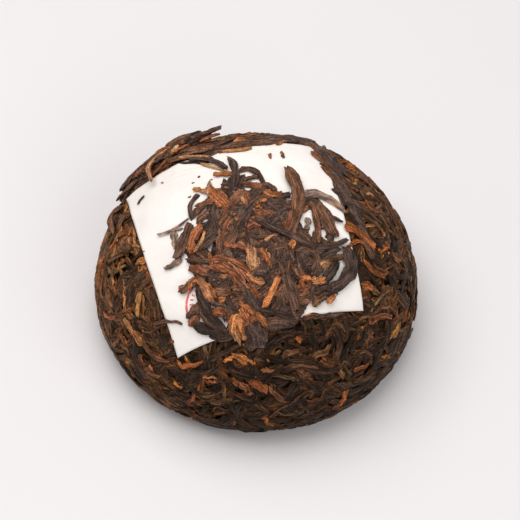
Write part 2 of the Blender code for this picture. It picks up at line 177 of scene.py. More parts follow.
def wired(tree, kind, sockets, **settings):
    """Adds a shader node. Each named or numbered socket gets its value, or a link where that is a socket."""
    node = tree.nodes.new(kind)
    for setting, value in settings.items():
        setattr(node, setting, value)
    for socket, value in sockets.items():
        if isinstance(value, bpy.types.NodeSocket):
            tree.links.new(value, node.inputs[socket])
        else:
            node.inputs[socket].default_value = value
    return node


def noise(tree, vector, scale, detail=2.0, **sockets):
    """Noise from 0 to 1, of so many waves for each unit of the vector, with so many finer ones on top."""
    sockets = {"Vector": vector, "Scale": scale, "Detail": detail, **sockets}
    return wired(tree, "ShaderNodeTexNoise", sockets).outputs["Fac"]


def maths(tree, operation, *values, **settings):
    """One step of arithmetic with values in a shader."""
    node = wired(tree, "ShaderNodeMath", dict(enumerate(values)), operation=operation, **settings)
    return node.outputs["Value"]


def shades(tree, share, stops):
    """A colour ramp over a share from 0 to 1, with a stop for each (place, colour)."""
    node = wired(tree, "ShaderNodeValToRGB", {"Fac": share})
    ramp = node.color_ramp
    while len(ramp.elements) < len(stops):
        ramp.elements.new(0.5)
    for element, (place, colour) in zip(ramp.elements, stops):
        element.position = place
        element.color = (*colour, 1.0)
    return node.outputs["Color"]


def between(tree, value, low, high, start=0.0, end=1.0):
    """A value's place t from low to high, held to that range, eased by 3t² - 2t³, from start to end."""
    sockets = {"Value": value, "From Min": low, "From Max": high, "To Min": start, "To Max": end}
    return wired(tree, "ShaderNodeMapRange", sockets, interpolation_type="SMOOTHSTEP").outputs["Result"]


def new_finish(name):
    """A new material with its tree and its Principled shader."""
    finish = bpy.data.materials.new(name)
    finish.use_nodes = True
    return finish, finish.node_tree, finish.node_tree.nodes["Principled BSDF"]


core_finish, tree, shader = new_finish("packed_core")
place = wired(tree, "ShaderNodeTexCoord", {}).outputs["Object"]
clods = noise(tree, place, 900.0, 5.0)
tree.links.new(shades(tree, clods, CORE_SHADES), shader.inputs["Base Color"])
tree.links.new(between(tree, clods, 0.3, 0.7, 0.65, 0.9), shader.inputs["Roughness"])
shader.inputs["Specular IOR Level"].default_value = 0.12
dents = wired(tree, "ShaderNodeBump", {"Height": clods, "Strength": 0.8, "Distance": 0.0004})
tree.links.new(dents.outputs["Normal"], shader.inputs["Normal"])

down = np.interp(np.linspace(0.0, 1.0, CORE_RINGS + 2), np.linspace(0.0, 1.0, SKIN_STEPS), skin_steps)
core_line, core_out = (
    np.stack([np.interp(down, skin_steps, column) for column in columns.T], -1)
    for columns in (skin, skin_normal)
)
core_line = core_line - core_out * CORE_DEPTH
core_line[:, 0] = np.maximum(core_line[:, 0], 0.0)
turn = -np.arange(CORE_SIDES) * (2 * math.pi / CORE_SIDES)
reach, rise = core_line[1:-1, :1], core_line[1:-1, 1:]
turned = np.stack([reach * np.cos(turn), reach * np.sin(turn), np.repeat(rise, CORE_SIDES, 1)], -1)
poles = np.array([[0.0, 0.0, core_line[0, 1]], [0.0, 0.0, core_line[-1, 1]]])
core_points = np.concatenate([turned.reshape(-1, 3), poles])
core_points += on_cake(core_points)[1] * (bumps(core_points, CORE_PITCH, 1) * CORE_RELIEF)[:, None]
core = put_mesh("packed_core", core_points, *tube_faces(1, CORE_RINGS, CORE_SIDES))
core.data.materials.append(core_finish)
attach(core, "root")
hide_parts("tea_body")


# The ticket. A square of thin, soft, off-white paper is laid in the mould with the last of the tea. It is
# pressed into the crown, follows every bump there, and is creased a little. It carries two plain red stamped
# rings.
TICKET_CORNERS = np.array([(-33.4, 12.2), (12.8, 24.2), (-17.7, -32.4), (25.7, -20.5)]) / 1000
TICKET_BOWS = (0.0016, 0.0003, 0.0018, 0.0010)  # of the left, right, front and back sides, outwards
TICKET_TURN = math.radians(16.0)
TICKET_THICK = 0.00013
TICKET_STEPS = 120
TICKET_LIFT = 0.00012
TICKET_BUMPS = [(0.0080, 0.00010, 5), (0.0026, 0.00003, 6)]  # the pitch, the height and the seed of each
LOOSE_EDGE_FROM = 0.9
LOOSE_EDGE_LIFT = 0.00025
LOOSE_EDGE_PITCH = 0.010
RINGS_AT = ((-0.0119, -0.0242), (-0.0066, -0.0014))
RING_RADIUS = 0.0044
RING_LINE = (0.00022, 0.00034)  # off the line's middle: where its ink starts to fade, and where it ends
RING_STROKES = 22.0
STROKES_START = (0.62, 0.64)  # over which shares of the radius the strokes fade in
STROKES_END = (0.82, 0.84)  # and out
STROKE_FLANK = (0.2, 0.6)  # the heights of the sine wave between which a stroke's ink fades in
TEA_STAIN = (0.80, 0.62, 0.46, 1.0)
RED_INK = (0.72, 0.06, 0.07, 1.0)


def on_crown(x, y):
    """Places of the crown straight above the plan: its height is its rise times the root of 1 - r²/R²."""
    share = np.clip(1.0 - (np.square(x) + np.square(y)) / CAKE_RADIUS**2, 0.0, 1.0)
    return on_cake(np.stack([x, y, WIDEST_HEIGHT + CROWN_RISE * np.sqrt(share)], -1))


def ticket_plan(across, along):
    """Plan places of the ticket, for across and along from -1 to 1.

    Each is the mean of the four corners, weighted by nearness, plus the bows. A side bows out by its own
    depth times 1 - t² along the side, and the bow fades to the far side.
    """
    left, right, front, back = (1 - across) / 2, (1 + across) / 2, (1 - along) / 2, (1 + along) / 2
    shares = np.stack([left * back, right * back, left * front, right * front], -1)
    bows = [left * (along**2 - 1), right * (1 - along**2), front * (across**2 - 1), back * (1 - across**2)]
    level = (math.cos(TICKET_TURN), math.sin(TICKET_TURN))
    upright = (-math.sin(TICKET_TURN), math.cos(TICKET_TURN))
    ways = np.array([level, level, upright, upright]) * np.array(TICKET_BOWS)[:, None]
    return (shares @ TICKET_CORNERS + np.stack(bows, -1) @ ways).T


def inside_by(points, corners):
    """How far points lie inside a closed outline on the plan, or outside it where negative.

    It is the distance to the nearest side. It counts as inside where a level ray crosses the sides an odd
    number of times.
    """
    start, end = corners, np.roll(corners, -1, axis=0)
    side = end - start
    from_start = points[..., None, :2] - start
    share = np.clip((from_start * side).sum(-1) / (side**2).sum(-1), 0.0, 1.0)
    away = np.linalg.norm(from_start - share[..., None] * side, axis=-1).min(-1)
    y = points[..., 1, None]
    spans = (start[:, 1] > y) != (end[:, 1] > y)
    slope = np.divide(side[:, 0], side[:, 1], out=np.zeros(len(side)), where=side[:, 1] != 0.0)
    crossed = spans & (from_start[..., 0] < from_start[..., 1] * slope)
    return np.where(crossed.sum(-1) % 2 == 1, away, -away)


def ring_mark(tree, place, centre):
    """Ink of one stamped ring, with short strokes inside.

    The ring is where the distance from its centre is its radius. The strokes are the crests of a sine wave of
    the angle round that centre, between two shares of the radius.
    """
    shift = wired(tree, "ShaderNodeVectorMath", {0: place, 1: (*centre, 0.0)}, operation="SUBTRACT")
    flat = {0: shift.outputs["Vector"], 1: (1.0, 1.0, 0.0)}
    flat = wired(tree, "ShaderNodeVectorMath", flat, operation="MULTIPLY").outputs["Vector"]
    far = wired(tree, "ShaderNodeVectorMath", {0: flat}, operation="LENGTH").outputs["Value"]
    off = maths(tree, "ABSOLUTE", maths(tree, "SUBTRACT", far, RING_RADIUS))
    band = between(tree, off, *RING_LINE, 1.0, 0.0)
    axes = wired(tree, "ShaderNodeSeparateXYZ", {"Vector": flat}).outputs
    turn = maths(tree, "ARCTAN2", axes["Y"], axes["X"])
    wave = maths(tree, "SINE", maths(tree, "MULTIPLY", turn, RING_STROKES))
    stroke = between(tree, wave, *STROKE_FLANK)
    inner = between(tree, far, *(RING_RADIUS * share for share in STROKES_START))
    outer = between(tree, far, *(RING_RADIUS * share for share in STROKES_END), 1.0, 0.0)
    stroke = maths(tree, "MULTIPLY", maths(tree, "MULTIPLY", stroke, inner), outer)
    return maths(tree, "MAXIMUM", band, stroke)


paper_finish, tree, shader = new_finish("ticket_tissue")
place = wired(tree, "ShaderNodeTexCoord", {}).outputs["Object"]
clouds = noise(tree, place, 90.0, 3.0)
fibres = noise(tree, place, 2600.0, 3.0)
slanted = {"Vector": place, "Rotation": (0.0, 0.0, 0.6), "Scale": (60.0, 420.0, 60.0)}
slanted = wired(tree, "ShaderNodeMapping", slanted).outputs["Vector"]
creases = noise(tree, slanted, 1.0, 4.0, Distortion=0.6)
white = shades(tree, clouds, [(0.30, (0.785, 0.740, 0.702)), (0.60, (0.835, 0.792, 0.757))])
stain = between(tree, creases, 0.60, 0.74, 0.0, 0.42)
stained = wired(tree, "ShaderNodeMixRGB", {"Fac": stain, "Color1": white, "Color2": TEA_STAIN})
ink = maths(tree, "MAXIMUM", *(ring_mark(tree, place, centre) for centre in RINGS_AT))
patchy = between(tree, noise(tree, place, 700.0), 0.30, 0.48, 0.25, 0.9)
printed = {"Fac": maths(tree, "MULTIPLY", ink, patchy), "Color1": stained.outputs["Color"], "Color2": RED_INK}
printed = wired(tree, "ShaderNodeMixRGB", printed)
tree.links.new(printed.outputs["Color"], shader.inputs["Base Color"])
tree.links.new(between(tree, fibres, 0.3, 0.7, 0.78, 0.95), shader.inputs["Roughness"])
shader.inputs["Specular IOR Level"].default_value = 0.25
folds = wired(tree, "ShaderNodeBump", {"Height": creases, "Strength": 0.5, "Distance": 0.0003})
grain = {"Height": fibres, "Strength": 0.25, "Distance": 0.00006, "Normal": folds.outputs["Normal"]}
tree.links.new(wired(tree, "ShaderNodeBump", grain).outputs["Normal"], shader.inputs["Normal"])

steps = np.linspace(-1.0, 1.0, TICKET_STEPS)
across, along = (grid.ravel() for grid in np.meshgrid(steps, steps))
ticket_surface, ticket_normals = on_crown(*ticket_plan(across, along))
ticket_lift = TICKET_LIFT
for pitch, height, seed in TICKET_BUMPS:
    ticket_lift = ticket_lift + height * bumps(ticket_surface, pitch, seed)
near_edge = np.clip(np.maximum(np.abs(across), np.abs(along)) - LOOSE_EDGE_FROM, 0.0, 1.0)
ticket_lift += LOOSE_EDGE_LIFT * near_edge * (1.0 + bumps(ticket_surface, LOOSE_EDGE_PITCH, 7))
ticket_points = ticket_surface + ticket_normals * ticket_lift[:, None]
cell = np.arange(TICKET_STEPS - 1)
corner = (cell[:, None] * TICKET_STEPS + cell).ravel()
ticket_faces = np.stack([corner, corner + 1, corner + TICKET_STEPS + 1, corner + TICKET_STEPS], -1)
ticket = put_mesh("ticket_paper", ticket_points, ticket_faces, np.empty((0, 3), int))
ticket.data.materials.append(paper_finish)
wall = ticket.modifiers.new("thickness", "SOLIDIFY")
wall.thickness = TICKET_THICK
wall.offset = 1.0
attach(ticket, "root")
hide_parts("paper_ticket")


# Black leaf. Whole leaves, rolled and twisted before pressing, then squeezed flat against each other. About
# two in five of the skin's strips are of this kind. It is almost black, with a satin gloss and browner ribs,
# which are partly worn and partly a painted highlight.
BLACK_COUNT = 1380
BLACK_SHADES = [
    (0.00, (0.013, 0.008, 0.005)),
    (0.35, (0.026, 0.013, 0.007)),
    (0.70, (0.055, 0.023, 0.009)),
    (1.00, (0.155, 0.068, 0.024)),
]
BLACK_SIZES = [(0.004, 0.013), (0.0008, 0.0024), (0.0006, 0.0011), (-0.0010, 0.0001)]
GOLDEN_ANGLE = math.pi * (3.0 - math.sqrt(5.0))
TURN_UNEVEN = 0.15
# The camera's place, its lens in pixels of the photo, and the pixel where the widest ring's middle lies.
CAMERA_FAR = 0.4815
CAMERA_LIFT = math.radians(55.0)
CAMERA_ROLL = math.radians(2.8)
PHOTO_LENS = 1890.0
PHOTO_MIDDLE = (256.4, 287.4)
SIGHT_SHORT = 0.060  # a line of sight is taken up this far before the cake's middle, clear of the cake
SIGHT_STEPS = 80
# Round the part of the paper that no leaf of the body covers, picked in the photo, in its pixels.
BARE_PAPER_SEEN = [
    (124, 197), (134, 191), (141, 186.5), (151, 180), (161, 173), (172, 166.5), (184, 163), (200, 162.5),
    (211, 157), (222, 154.5), (230, 151.5), (242, 150), (251, 149.5), (256, 147.5), (270, 146.5), (280, 144),
    (294, 144), (302, 145), (309, 148), (313, 153.5), (317, 159.5), (320.5, 170), (325, 177), (328.5, 185),
    (331, 197), (339, 206), (343, 222), (348, 238), (350, 246), (358, 273), (361, 285), (366, 313),
    (343, 315), (305, 322), (260, 334), (216, 346), (196, 354), (175, 360), (166, 333), (155, 300),
    (145, 268), (137, 243), (127, 213),
]


def unit(vectors):
    """Vectors brought to a length of 1."""
    return vectors / np.maximum(np.linalg.norm(vectors, axis=-1, keepdims=True), 1e-12)


forward = np.array([0.0, math.cos(CAMERA_LIFT), -math.sin(CAMERA_LIFT)])
level, upright = np.array([1.0, 0.0, 0.0]), np.array([0.0, math.sin(CAMERA_LIFT), math.cos(CAMERA_LIFT)])
rightward = level * math.cos(CAMERA_ROLL) + upright * math.sin(CAMERA_ROLL)
upward = upright * math.cos(CAMERA_ROLL) - level * math.sin(CAMERA_ROLL)
eye = np.array([0.0, 0.0, WIDEST_HEIGHT]) - forward * CAMERA_FAR


def seen_at(pixels, stand=0.0):
    """Plan places of what the photo shows at these pixels, where it stands so high above the cake's skin.

    Each line of sight is walked from the camera, over and over, by half of the height that is left down to
    that stand. A line that misses the cake is walked until it comes no nearer. The skin's place below it
    counts.
    """
    pixels = np.asarray(pixels)
    aside = (pixels - PHOTO_MIDDLE) / PHOTO_LENS
    sight = unit(forward + rightward * aside[..., :1] - upward * aside[..., 1:])
    walked = np.full(pixels.shape[:-1], CAMERA_FAR - SIGHT_SHORT)
    nearest = np.full(pixels.shape[:-1], math.inf)
    plan = np.zeros(pixels.shape)
    for _ in range(SIGHT_STEPS):
        point = eye + sight * walked[..., None]
        foot, out = on_cake(point)
        height = ((point - foot) * out).sum(-1) - stand
        closer = height < nearest
        nearest = np.where(closer, height, nearest)
        plan = np.where(closer[..., None], foot[..., :2], plan)
        walked = walked + np.where(closer, height / 2, 0.0)
    return plan


BARE_PAPER = seen_at(BARE_PAPER_SEEN)


def spread_places(count, draw):
    """Places spread evenly over the skin's area.

    The run down the section is found from the area up to it, and each place turns on by the golden angle.
    """
    area = np.concatenate([[0.0], np.cumsum((skin[1:, 0] + skin[:-1, 0]) / 2)])
    share = (np.arange(count) + draw.uniform(0.0, 1.0, count)) / count
    step = np.interp(share * area[-1], area, skin_steps)
    radius, height = (np.interp(step, skin_steps, column) for column in skin.T)
    turn = np.arange(count) * GOLDEN_ANGLE + draw.uniform(0.0, RANDOM_TURN)
    turn = turn + draw.normal(0.0, TURN_UNEVEN, count)
    return np.stack([radius * np.cos(turn), radius * np.sin(turn), height], -1)


# How far a strip bends from its middle to its end, in radians, for each BEND_LENGTH of it, and in a wave.
# Then how far each step is off, and how far a strip strays from the way round the cake, low and more on the
# crown.
BEND = 0.44
BEND_LENGTH = 0.010
BEND_WAVE = 0.4  # of the bend
BEND_WAVE_RUN = (2.0, 4.0)  # radians of that wave from the middle to the end
CRINKLE = 0.17
STRAY_LOW = 0.42
STRAY_CROWN = 1.3


def wandering(lean, length, rings, draw):
    """Flat wandering lines, each centred on its own middle, as how far along and aside each step ends.

    The heading is the lean, plus a random slope times the share along, a sine of the share, and a jitter for
    each step. Equal steps in these headings add up to the line.
    """
    count = len(lean)
    share = np.linspace(-1.0, 1.0, rings - 1)
    turn = lean[:, None] + BEND * length[:, None] / BEND_LENGTH * draw.normal(0.0, 1.0, (count, 1)) * share
    wave = BEND_WAVE * BEND * draw.normal(0.0, 1.0, (count, 1))
    turn = turn + wave * np.sin(draw.uniform(*BEND_WAVE_RUN, (count, 1)) * share)
    turn = turn + draw.normal(0.0, CRINKLE, (count, rings - 1))
    steps = np.stack([np.cos(turn), np.sin(turn)], -1) * (length / (rings - 1))[:, None, None]
    line = np.concatenate([np.zeros((count, 1, 2)), np.cumsum(steps, 1)], 1)
    return line - line.mean(1, keepdims=True)


def laid_lines(places, draw, length, rings, stray=None):
    """Middle lines of strips laid on the skin round places, and the skin's normals along them.

    Low on the side a strip runs round the cake, and it strays more the nearer it is to the crown. A wandering
    line is laid out from the way round and the way down, and drawn to the skin.
    """
    middle, normal = on_cake(places)
    round_way = unit(np.stack([-middle[:, 1], middle[:, 0], np.zeros(len(middle))], -1) + 1e-9)
    if stray is None:
        stray = STRAY_LOW + STRAY_CROWN * np.clip((middle[:, 2] - WIDEST_HEIGHT) / CROWN_RISE, 0.0, 1.0)
    way = wandering(draw.normal(0.0, 1.0, len(middle)) * stray, length, rings, draw)
    line = round_way[:, None] * way[..., :1] + np.cross(round_way, normal)[:, None] * way[..., 1:]
    return on_cake(middle[:, None] + line)


OUTLINE_STEPS = 16
side_share = np.linspace(-1.0, 1.0, OUTLINE_STEPS, endpoint=False)
side_end = np.ones(OUTLINE_STEPS)
TICKET_OUTLINE = ticket_plan(
    np.concatenate([side_share, side_end, -side_share, -side_end]),
    np.concatenate([-side_end, side_share, side_end, -side_share]),
).T
# How strips pass the paper. The share that a strip has gone over or under it is its place inside the ticket
# over a reach, plus an early start. A crossing strip that lies this far inside all along is out of sight.
CROWN_FROM = 1.5 * WIDEST_HEIGHT
HIDDEN_BY = 0.0010
OVER_REACH, OVER_EARLY = 0.0033, 0.85
UNDER_REACH, UNDER_EARLY = 0.0011, 1.3
OVER_LIFT = 0.00055
CEILING = (0.00002, 0.00036)
OVER_CEILING = 0.0006
UNDER_PAPER = -0.00026


def clear_of_paper(line, width, draw):
    """Which strips the paper doesn't hide, how high each may stand, and how far it is lifted over the paper.

    A strip that crosses bare paper passes under it. One that stays outside lies over the covered margin.
    """
    on_top = line[..., 2] > CROWN_FROM
    inside = np.where(on_top, inside_by(line, TICKET_OUTLINE), -1.0)
    bare = np.where(on_top, inside_by(line, BARE_PAPER), -1.0)
    crosses = (bare + width[:, None] * 0.5 > 0.0).any(1)
    hidden = crosses & (inside > HIDDEN_BY).all(1)
    over = ~crosses[:, None] * np.clip(inside / OVER_REACH + OVER_EARLY, 0.0, 1.0)
    ceiling = draw.uniform(*CEILING, len(line))[:, None] + over * OVER_CEILING
    under = crosses[:, None] * np.clip(inside / UNDER_REACH + UNDER_EARLY, 0.0, 1.0)
    ceiling = ceiling * (1.0 - under) + UNDER_PAPER * under
    return ~hidden, ceiling, over * OVER_LIFT


# The form of a strip: how blunt its ends may be, over which share of its length it narrows to them, how far
# its width wavers by a long and a short wave and how often, how high and how uneven its ribs are, how far
# they turn, and how many pleats lie across it. Then how far its ends are torn and stand out, in widths.
BLUNT_MOST = 0.95
NARROWS_OVER = (0.06, 0.30)
WAVER_FAR, WAVER_OFTEN = (0.15, 0.11), (5.0, 13.0)
TWO_RIBS, THREE_RIBS, UNEVEN = 0.10, 0.12, 0.055
RIB_TURN, THREE_TURN = 1.6, 1.7
PLEATS = (2.2, 4.6)
PLEATS_TURN = 2.0  # times the turn of the ribs
PLEATS_AT_ENDS = 0.4  # the share of their depth that is left where the strip is narrow
PLEATS_STAND = 0.8  # the share of their depth that stands out after the pressing
CURL_LEVEL = 0.4  # taken off the curl's parabola, so that a curled strip keeps about its height
TORN = 0.20
END_OUT = 0.15
PRESS_SOFTNESS = 0.00006
PATTERN_APART = 500.0  # millimetres that a strip's own coordinates may be moved by, so that no two look alike
CREASE_ANGLE = math.radians(38.0)


def leaf_points(line, normals, width, thick, lift, ceiling, draw, sides, fold=0.10, curl=0.0, tip=0.25):
    """Points of rolled and pressed strips, and where each point lies in its own strip and how near its edge.

    A strip's section is an ellipse of its width and thickness, with two- and three-fold ribs that turn along
    it, curled by a parabola. It narrows to blunt ends, and its width wavers. What stands above the ceiling is
    pressed down to it: the height becomes ceiling - s log(1 + e^((ceiling - height)/s)). Last it is pleated
    lengthwise by a wave across its width.
    """
    count, rings = line.shape[:2]
    share = np.linspace(0.0, 1.0, rings)
    ahead = unit(np.gradient(line, axis=1))
    across = unit(np.cross(normals, ahead))
    blunt = draw.uniform(tip, BLUNT_MOST, (2, count, 1))
    narrows = draw.uniform(*NARROWS_OVER, (2, count, 1))
    rise = np.clip(np.stack([share / narrows[0], (1.0 - share) / narrows[1]]), 0.0, 1.0)
    body = (blunt + (1.0 - blunt) * np.sin(rise * math.pi / 2)).prod(0)
    start = draw.uniform(0.0, RANDOM_TURN, (3, count, 1))
    long_waver = WAVER_FAR[0] * np.sin(WAVER_OFTEN[0] * share + start[0])
    short_waver = WAVER_FAR[1] * np.sin(WAVER_OFTEN[1] * share + start[1])
    body = body * (1.0 + long_waver + short_waver)
    angle = (np.arange(sides) + 0.5) * (2 * math.pi / sides)
    twist = (draw.normal(0.0, RIB_TURN, (count, 1)) * share + start[2])[..., None]
    ribs = 1.0 + TWO_RIBS * np.cos(2 * angle + twist) + THREE_RIBS * np.cos(3 * angle - THREE_TURN * twist)
    ribs = ribs + draw.normal(0.0, UNEVEN, (count, rings, sides))
    side_place = np.cos(angle) * ribs
    own_width = width[:, None, None]
    wide = body[..., None] * own_width / 2 * side_place
    high = np.sqrt(body)[..., None] * thick[:, None, None] / 2 * np.sin(angle) * ribs
    pleats = draw.uniform(*PLEATS, (count, 1, 1)) * side_place + PLEATS_TURN * twist
    pleat_share = PLEATS_AT_ENDS + (1.0 - PLEATS_AT_ENDS) * body[..., None]
    relief = fold * own_width * np.sin(pleats) * pleat_share
    high = high + np.reshape(curl, (-1, 1, 1)) * own_width * (side_place**2 - CURL_LEVEL)
    top = ceiling[..., None]
    below = (top - (lift[..., None] + high)) / PRESS_SOFTNESS
    height = top - PRESS_SOFTNESS * np.logaddexp(0.0, below) + relief * PLEATS_STAND
    tear = np.zeros((count, rings, sides))
    tear[:, [0, -1]] = draw.normal(0.0, TORN, (count, 2, sides)) * own_width
    points = line[:, :, None] + across[:, :, None] * wide[..., None] + normals[:, :, None] * height[..., None]
    points = points + ahead[:, :, None] * tear[..., None]
    end_out = np.array([-END_OUT, END_OUT])[:, None] * body[:, [0, -1], None] * own_width
    ends = points[:, [0, -1]].mean(2) + ahead[:, [0, -1]] * end_out
    length = np.linalg.norm(np.diff(line, axis=1), axis=-1).sum(1)
    along = np.broadcast_to((length[:, None] * share)[..., None], wide.shape)
    own = np.stack([along, wide, high + relief], -1).reshape(count, -1, 3)
    own_ends = np.zeros((count, 2, 3))
    own_ends[:, 1, 0] = length
    own = np.concatenate([own, own_ends], 1) * 1000
    own = own + draw.uniform(-PATTERN_APART, PATTERN_APART, (count, 1, 3))
    points = np.concatenate([points.reshape(count, -1, 3), ends], 1)
    points[..., 2] = np.maximum(points[..., 2], 0.0)
    edge = np.maximum(np.abs(side_place), 1.0 - np.minimum(rise[0], rise[1])[..., None])
    return points, own, np.concatenate([edge.reshape(count, -1) ** 4, np.ones((count, 2))], 1)


def leaf_piece(name, finish, points, own, tone, rings, sides):
    """One object of all the strips of a kind, with their tone and their own coordinates as attributes."""
    made = put_mesh(name, points.reshape(-1, 3), *tube_faces(len(points), rings, sides))
    made.data.set_sharp_from_angle(angle=CREASE_ANGLE)
    toned = made.data.attributes.new("leaf_tone", "FLOAT", "POINT")
    toned.data.foreach_set("value", tone.astype(np.float32).ravel())
    placed = made.data.attributes.new("leaf_place", "FLOAT_VECTOR", "POINT")
    placed.data.foreach_set("vector", own.astype(np.float32).ravel())
    made.data.materials.append(finish)
    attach(made, "root")
    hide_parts("tea_body")


# The colour laid on the highest rib crests: partly wear, partly a painted highlight.
RIB_WEAR_AND_HIGHLIGHT = (0.29, 0.155, 0.078, 1.0)
LEAF_GLINT = (1.0, 0.80, 0.64, 1.0)


def leaf_finish(name, tones, gloss=0.50, shift=0.40, wear_and_highlight=0.42, crease_shade=0.38):
    """Dry cured leaf: a ramp of tones by strip, blotched, with pale ribs and dark creases.

    One noise over the whole cake moves the tone by regions, and one of the strip's own by blotches. The ribs
    are noise drawn out along the strip. They set the colour, the bump and the gloss together. In the colour
    the creases are painted shade and the crests painted highlight, and the palest crests are partly wear as
    well.
    """
    finish, tree, shader = new_finish(name)
    place = wired(tree, "ShaderNodeTexCoord", {}).outputs["Object"]
    region = noise(tree, place, 190.0, 5.0, Roughness=0.6)
    region = between(tree, region, 0.34, 0.66, -0.5 * shift, 0.5 * shift)
    tone = wired(tree, "ShaderNodeAttribute", {}, attribute_name="leaf_tone").outputs["Fac"]
    tone = maths(tree, "ADD", tone, region)
    own = wired(tree, "ShaderNodeAttribute", {}, attribute_name="leaf_place").outputs["Vector"]
    drawn_out = wired(tree, "ShaderNodeMapping", {"Vector": own, "Scale": (0.22, 2.0, 2.0)}).outputs["Vector"]
    ribs = noise(tree, drawn_out, 1.0, 4.0, Roughness=0.62, Distortion=0.5)
    blotches = noise(tree, own, 0.45, 4.0)
    specks = noise(tree, own, 4.0, 3.0)
    moved = between(tree, blotches, 0.32, 0.68, -0.5 * shift, 0.5 * shift)
    moved = maths(tree, "ADD", tone, moved, use_clamp=True)
    # Painted shade and light: the colour is darkened in the low places of the ribs and lightened on their
    # crests.
    depth = between(tree, ribs, 0.41, 0.61, crease_shade, 1.92 - crease_shade)
    depth = maths(tree, "MULTIPLY", depth, between(tree, specks, 0.36, 0.64, 0.56, 1.50))
    depth = maths(tree, "MULTIPLY", depth, between(tree, blotches, 0.35, 0.65, 1.35, 0.70))
    colour = {0: shades(tree, moved, tones), "Scale": depth}
    colour = wired(tree, "ShaderNodeVectorMath", colour, operation="SCALE").outputs["Vector"]
    # The palest crests get the rib colour, partly as wear and partly as a painted highlight.
    worn_and_lit = between(tree, ribs, 0.57, 0.68, 0.0, wear_and_highlight)
    worn_and_lit = maths(tree, "MULTIPLY", worn_and_lit, between(tree, moved, 0.0, 0.7, 0.3, 1.0))
    worn_and_lit = wired(tree, "ShaderNodeMixRGB", {"Fac": worn_and_lit, "Color1": colour, "Color2": RIB_WEAR_AND_HIGHLIGHT})
    tree.links.new(worn_and_lit.outputs["Color"], shader.inputs["Base Color"])
    tree.links.new(between(tree, ribs, 0.35, 0.65, gloss + 0.22, gloss), shader.inputs["Roughness"])
    shader.inputs["Specular IOR Level"].default_value = 0.16
    shader.inputs["Specular Tint"].default_value = LEAF_GLINT
    raised = wired(tree, "ShaderNodeBump", {"Height": ribs, "Strength": 1.0, "Distance": 0.00045})
    rough = {"Height": specks, "Strength": 0.6, "Distance": 0.00014, "Normal": raised.outputs["Normal"]}
    tree.links.new(wired(tree, "ShaderNodeBump", rough).outputs["Normal"], shader.inputs["Normal"])
    return finish


# How uneven a strip lies, how far its ends dive and by which power of the share along, how much paler it is
# to the back, to the left and to both sides, which is painted light from the key light at the back left with
# painted shade at the front, and the parts of its own tone and of its worn edge.
LIES_UNEVEN = 0.00009
DIVE, DIVE_POWER = (-0.0002, 0.0009), 2.5
PAINTED_LIGHT_BACK, PAINTED_LIGHT_LEFT, PAINTED_LIGHT_SIDES = 0.92, 0.38, 0.57
OWN_TONE, EDGE_TONE = 0.85, 0.15


def pressed_kind(name, finish, count, seed, sizes, rings=9, sides=8, fold=0.10, curl=0.05):
    """Strips of one kind over the whole skin.

    Their lengths, widths, thicknesses and depths are drawn evenly between two values each. Their tone is
    drawn from 0 to 1. As painted light, it is moved towards 1 by a share at the back and sides, where the key
    light falls, and towards 0 by a share at the front, as painted shade. Their ends may dive under their
    neighbours by a power of the share along.
    """
    draw = np.random.default_rng(seed)
    length, width, thick, depth = sizes
    size = draw.uniform(*length, count)
    line, normals = laid_lines(spread_places(count, draw), draw, size, rings)
    wide = draw.uniform(*width, count)
    kept, ceiling, lifted = clear_of_paper(line, wide, draw)
    lift = draw.uniform(*depth, (count, 1)) + draw.normal(0.0, LIES_UNEVEN, (count, rings)) + lifted
    share = np.linspace(-1.0, 1.0, rings)
    to_ends = np.stack([np.clip(-share, 0, 1), np.clip(share, 0, 1)])[:, None] ** DIVE_POWER
    lift = lift - (draw.uniform(*DIVE, (2, count, 1)) * to_ends).sum(0)
    thickness = draw.uniform(*thick, count)
    x, y = line[:, :1, 0], line[:, :1, 1]
    # Painted light and shade: paler where the key light falls at the back and left, darker at the front.
    paler = (PAINTED_LIGHT_BACK * y - PAINTED_LIGHT_LEFT * x + PAINTED_LIGHT_SIDES * np.abs(x)) / CAKE_RADIUS
    tone = draw.uniform(0.0, 1.0, (count, 1))
    tone = tone + np.clip(paler, -1.0, 1.0) * np.where(paler > 0.0, 1.0 - tone, tone)
    tone = np.repeat(tone, rings * sides + 2, 1)
    curled = draw.normal(0.0, curl, count)
    picked = (column[kept] for column in (line, normals, wide, thickness, lift, ceiling))
    points, own, edge = leaf_points(*picked, draw, sides, fold=fold, curl=curled[kept])
    leaf_piece(name, finish, points, own, tone[kept] * OWN_TONE + EDGE_TONE * edge, rings, sides)


black_finish = leaf_finish("black_leaf", BLACK_SHADES, gloss=0.46, wear_and_highlight=0.30)
pressed_kind("black_leaf_strips", black_finish, BLACK_COUNT, 11, BLACK_SIZES)


# Brown leaf. The same rolled strips from coarser leaves, which cure to brown and dark reddish brown with dull
# ribs. They lie in among the black ones.
BROWN_COUNT = 1250
BROWN_SHADES = [
    (0.00, (0.026, 0.012, 0.006)),
    (0.40, (0.080, 0.031, 0.011)),
    (0.75, (0.172, 0.069, 0.024)),
    (1.00, (0.310, 0.138, 0.052)),
]
BROWN_SIZES = [(0.004, 0.012), (0.0008, 0.0024), (0.0006, 0.0011), (-0.0010, 0.0001)]
brown_finish = leaf_finish("brown_leaf", BROWN_SHADES, gloss=0.52)
pressed_kind("brown_leaf_strips", brown_finish, BROWN_COUNT, 12, BROWN_SIZES)


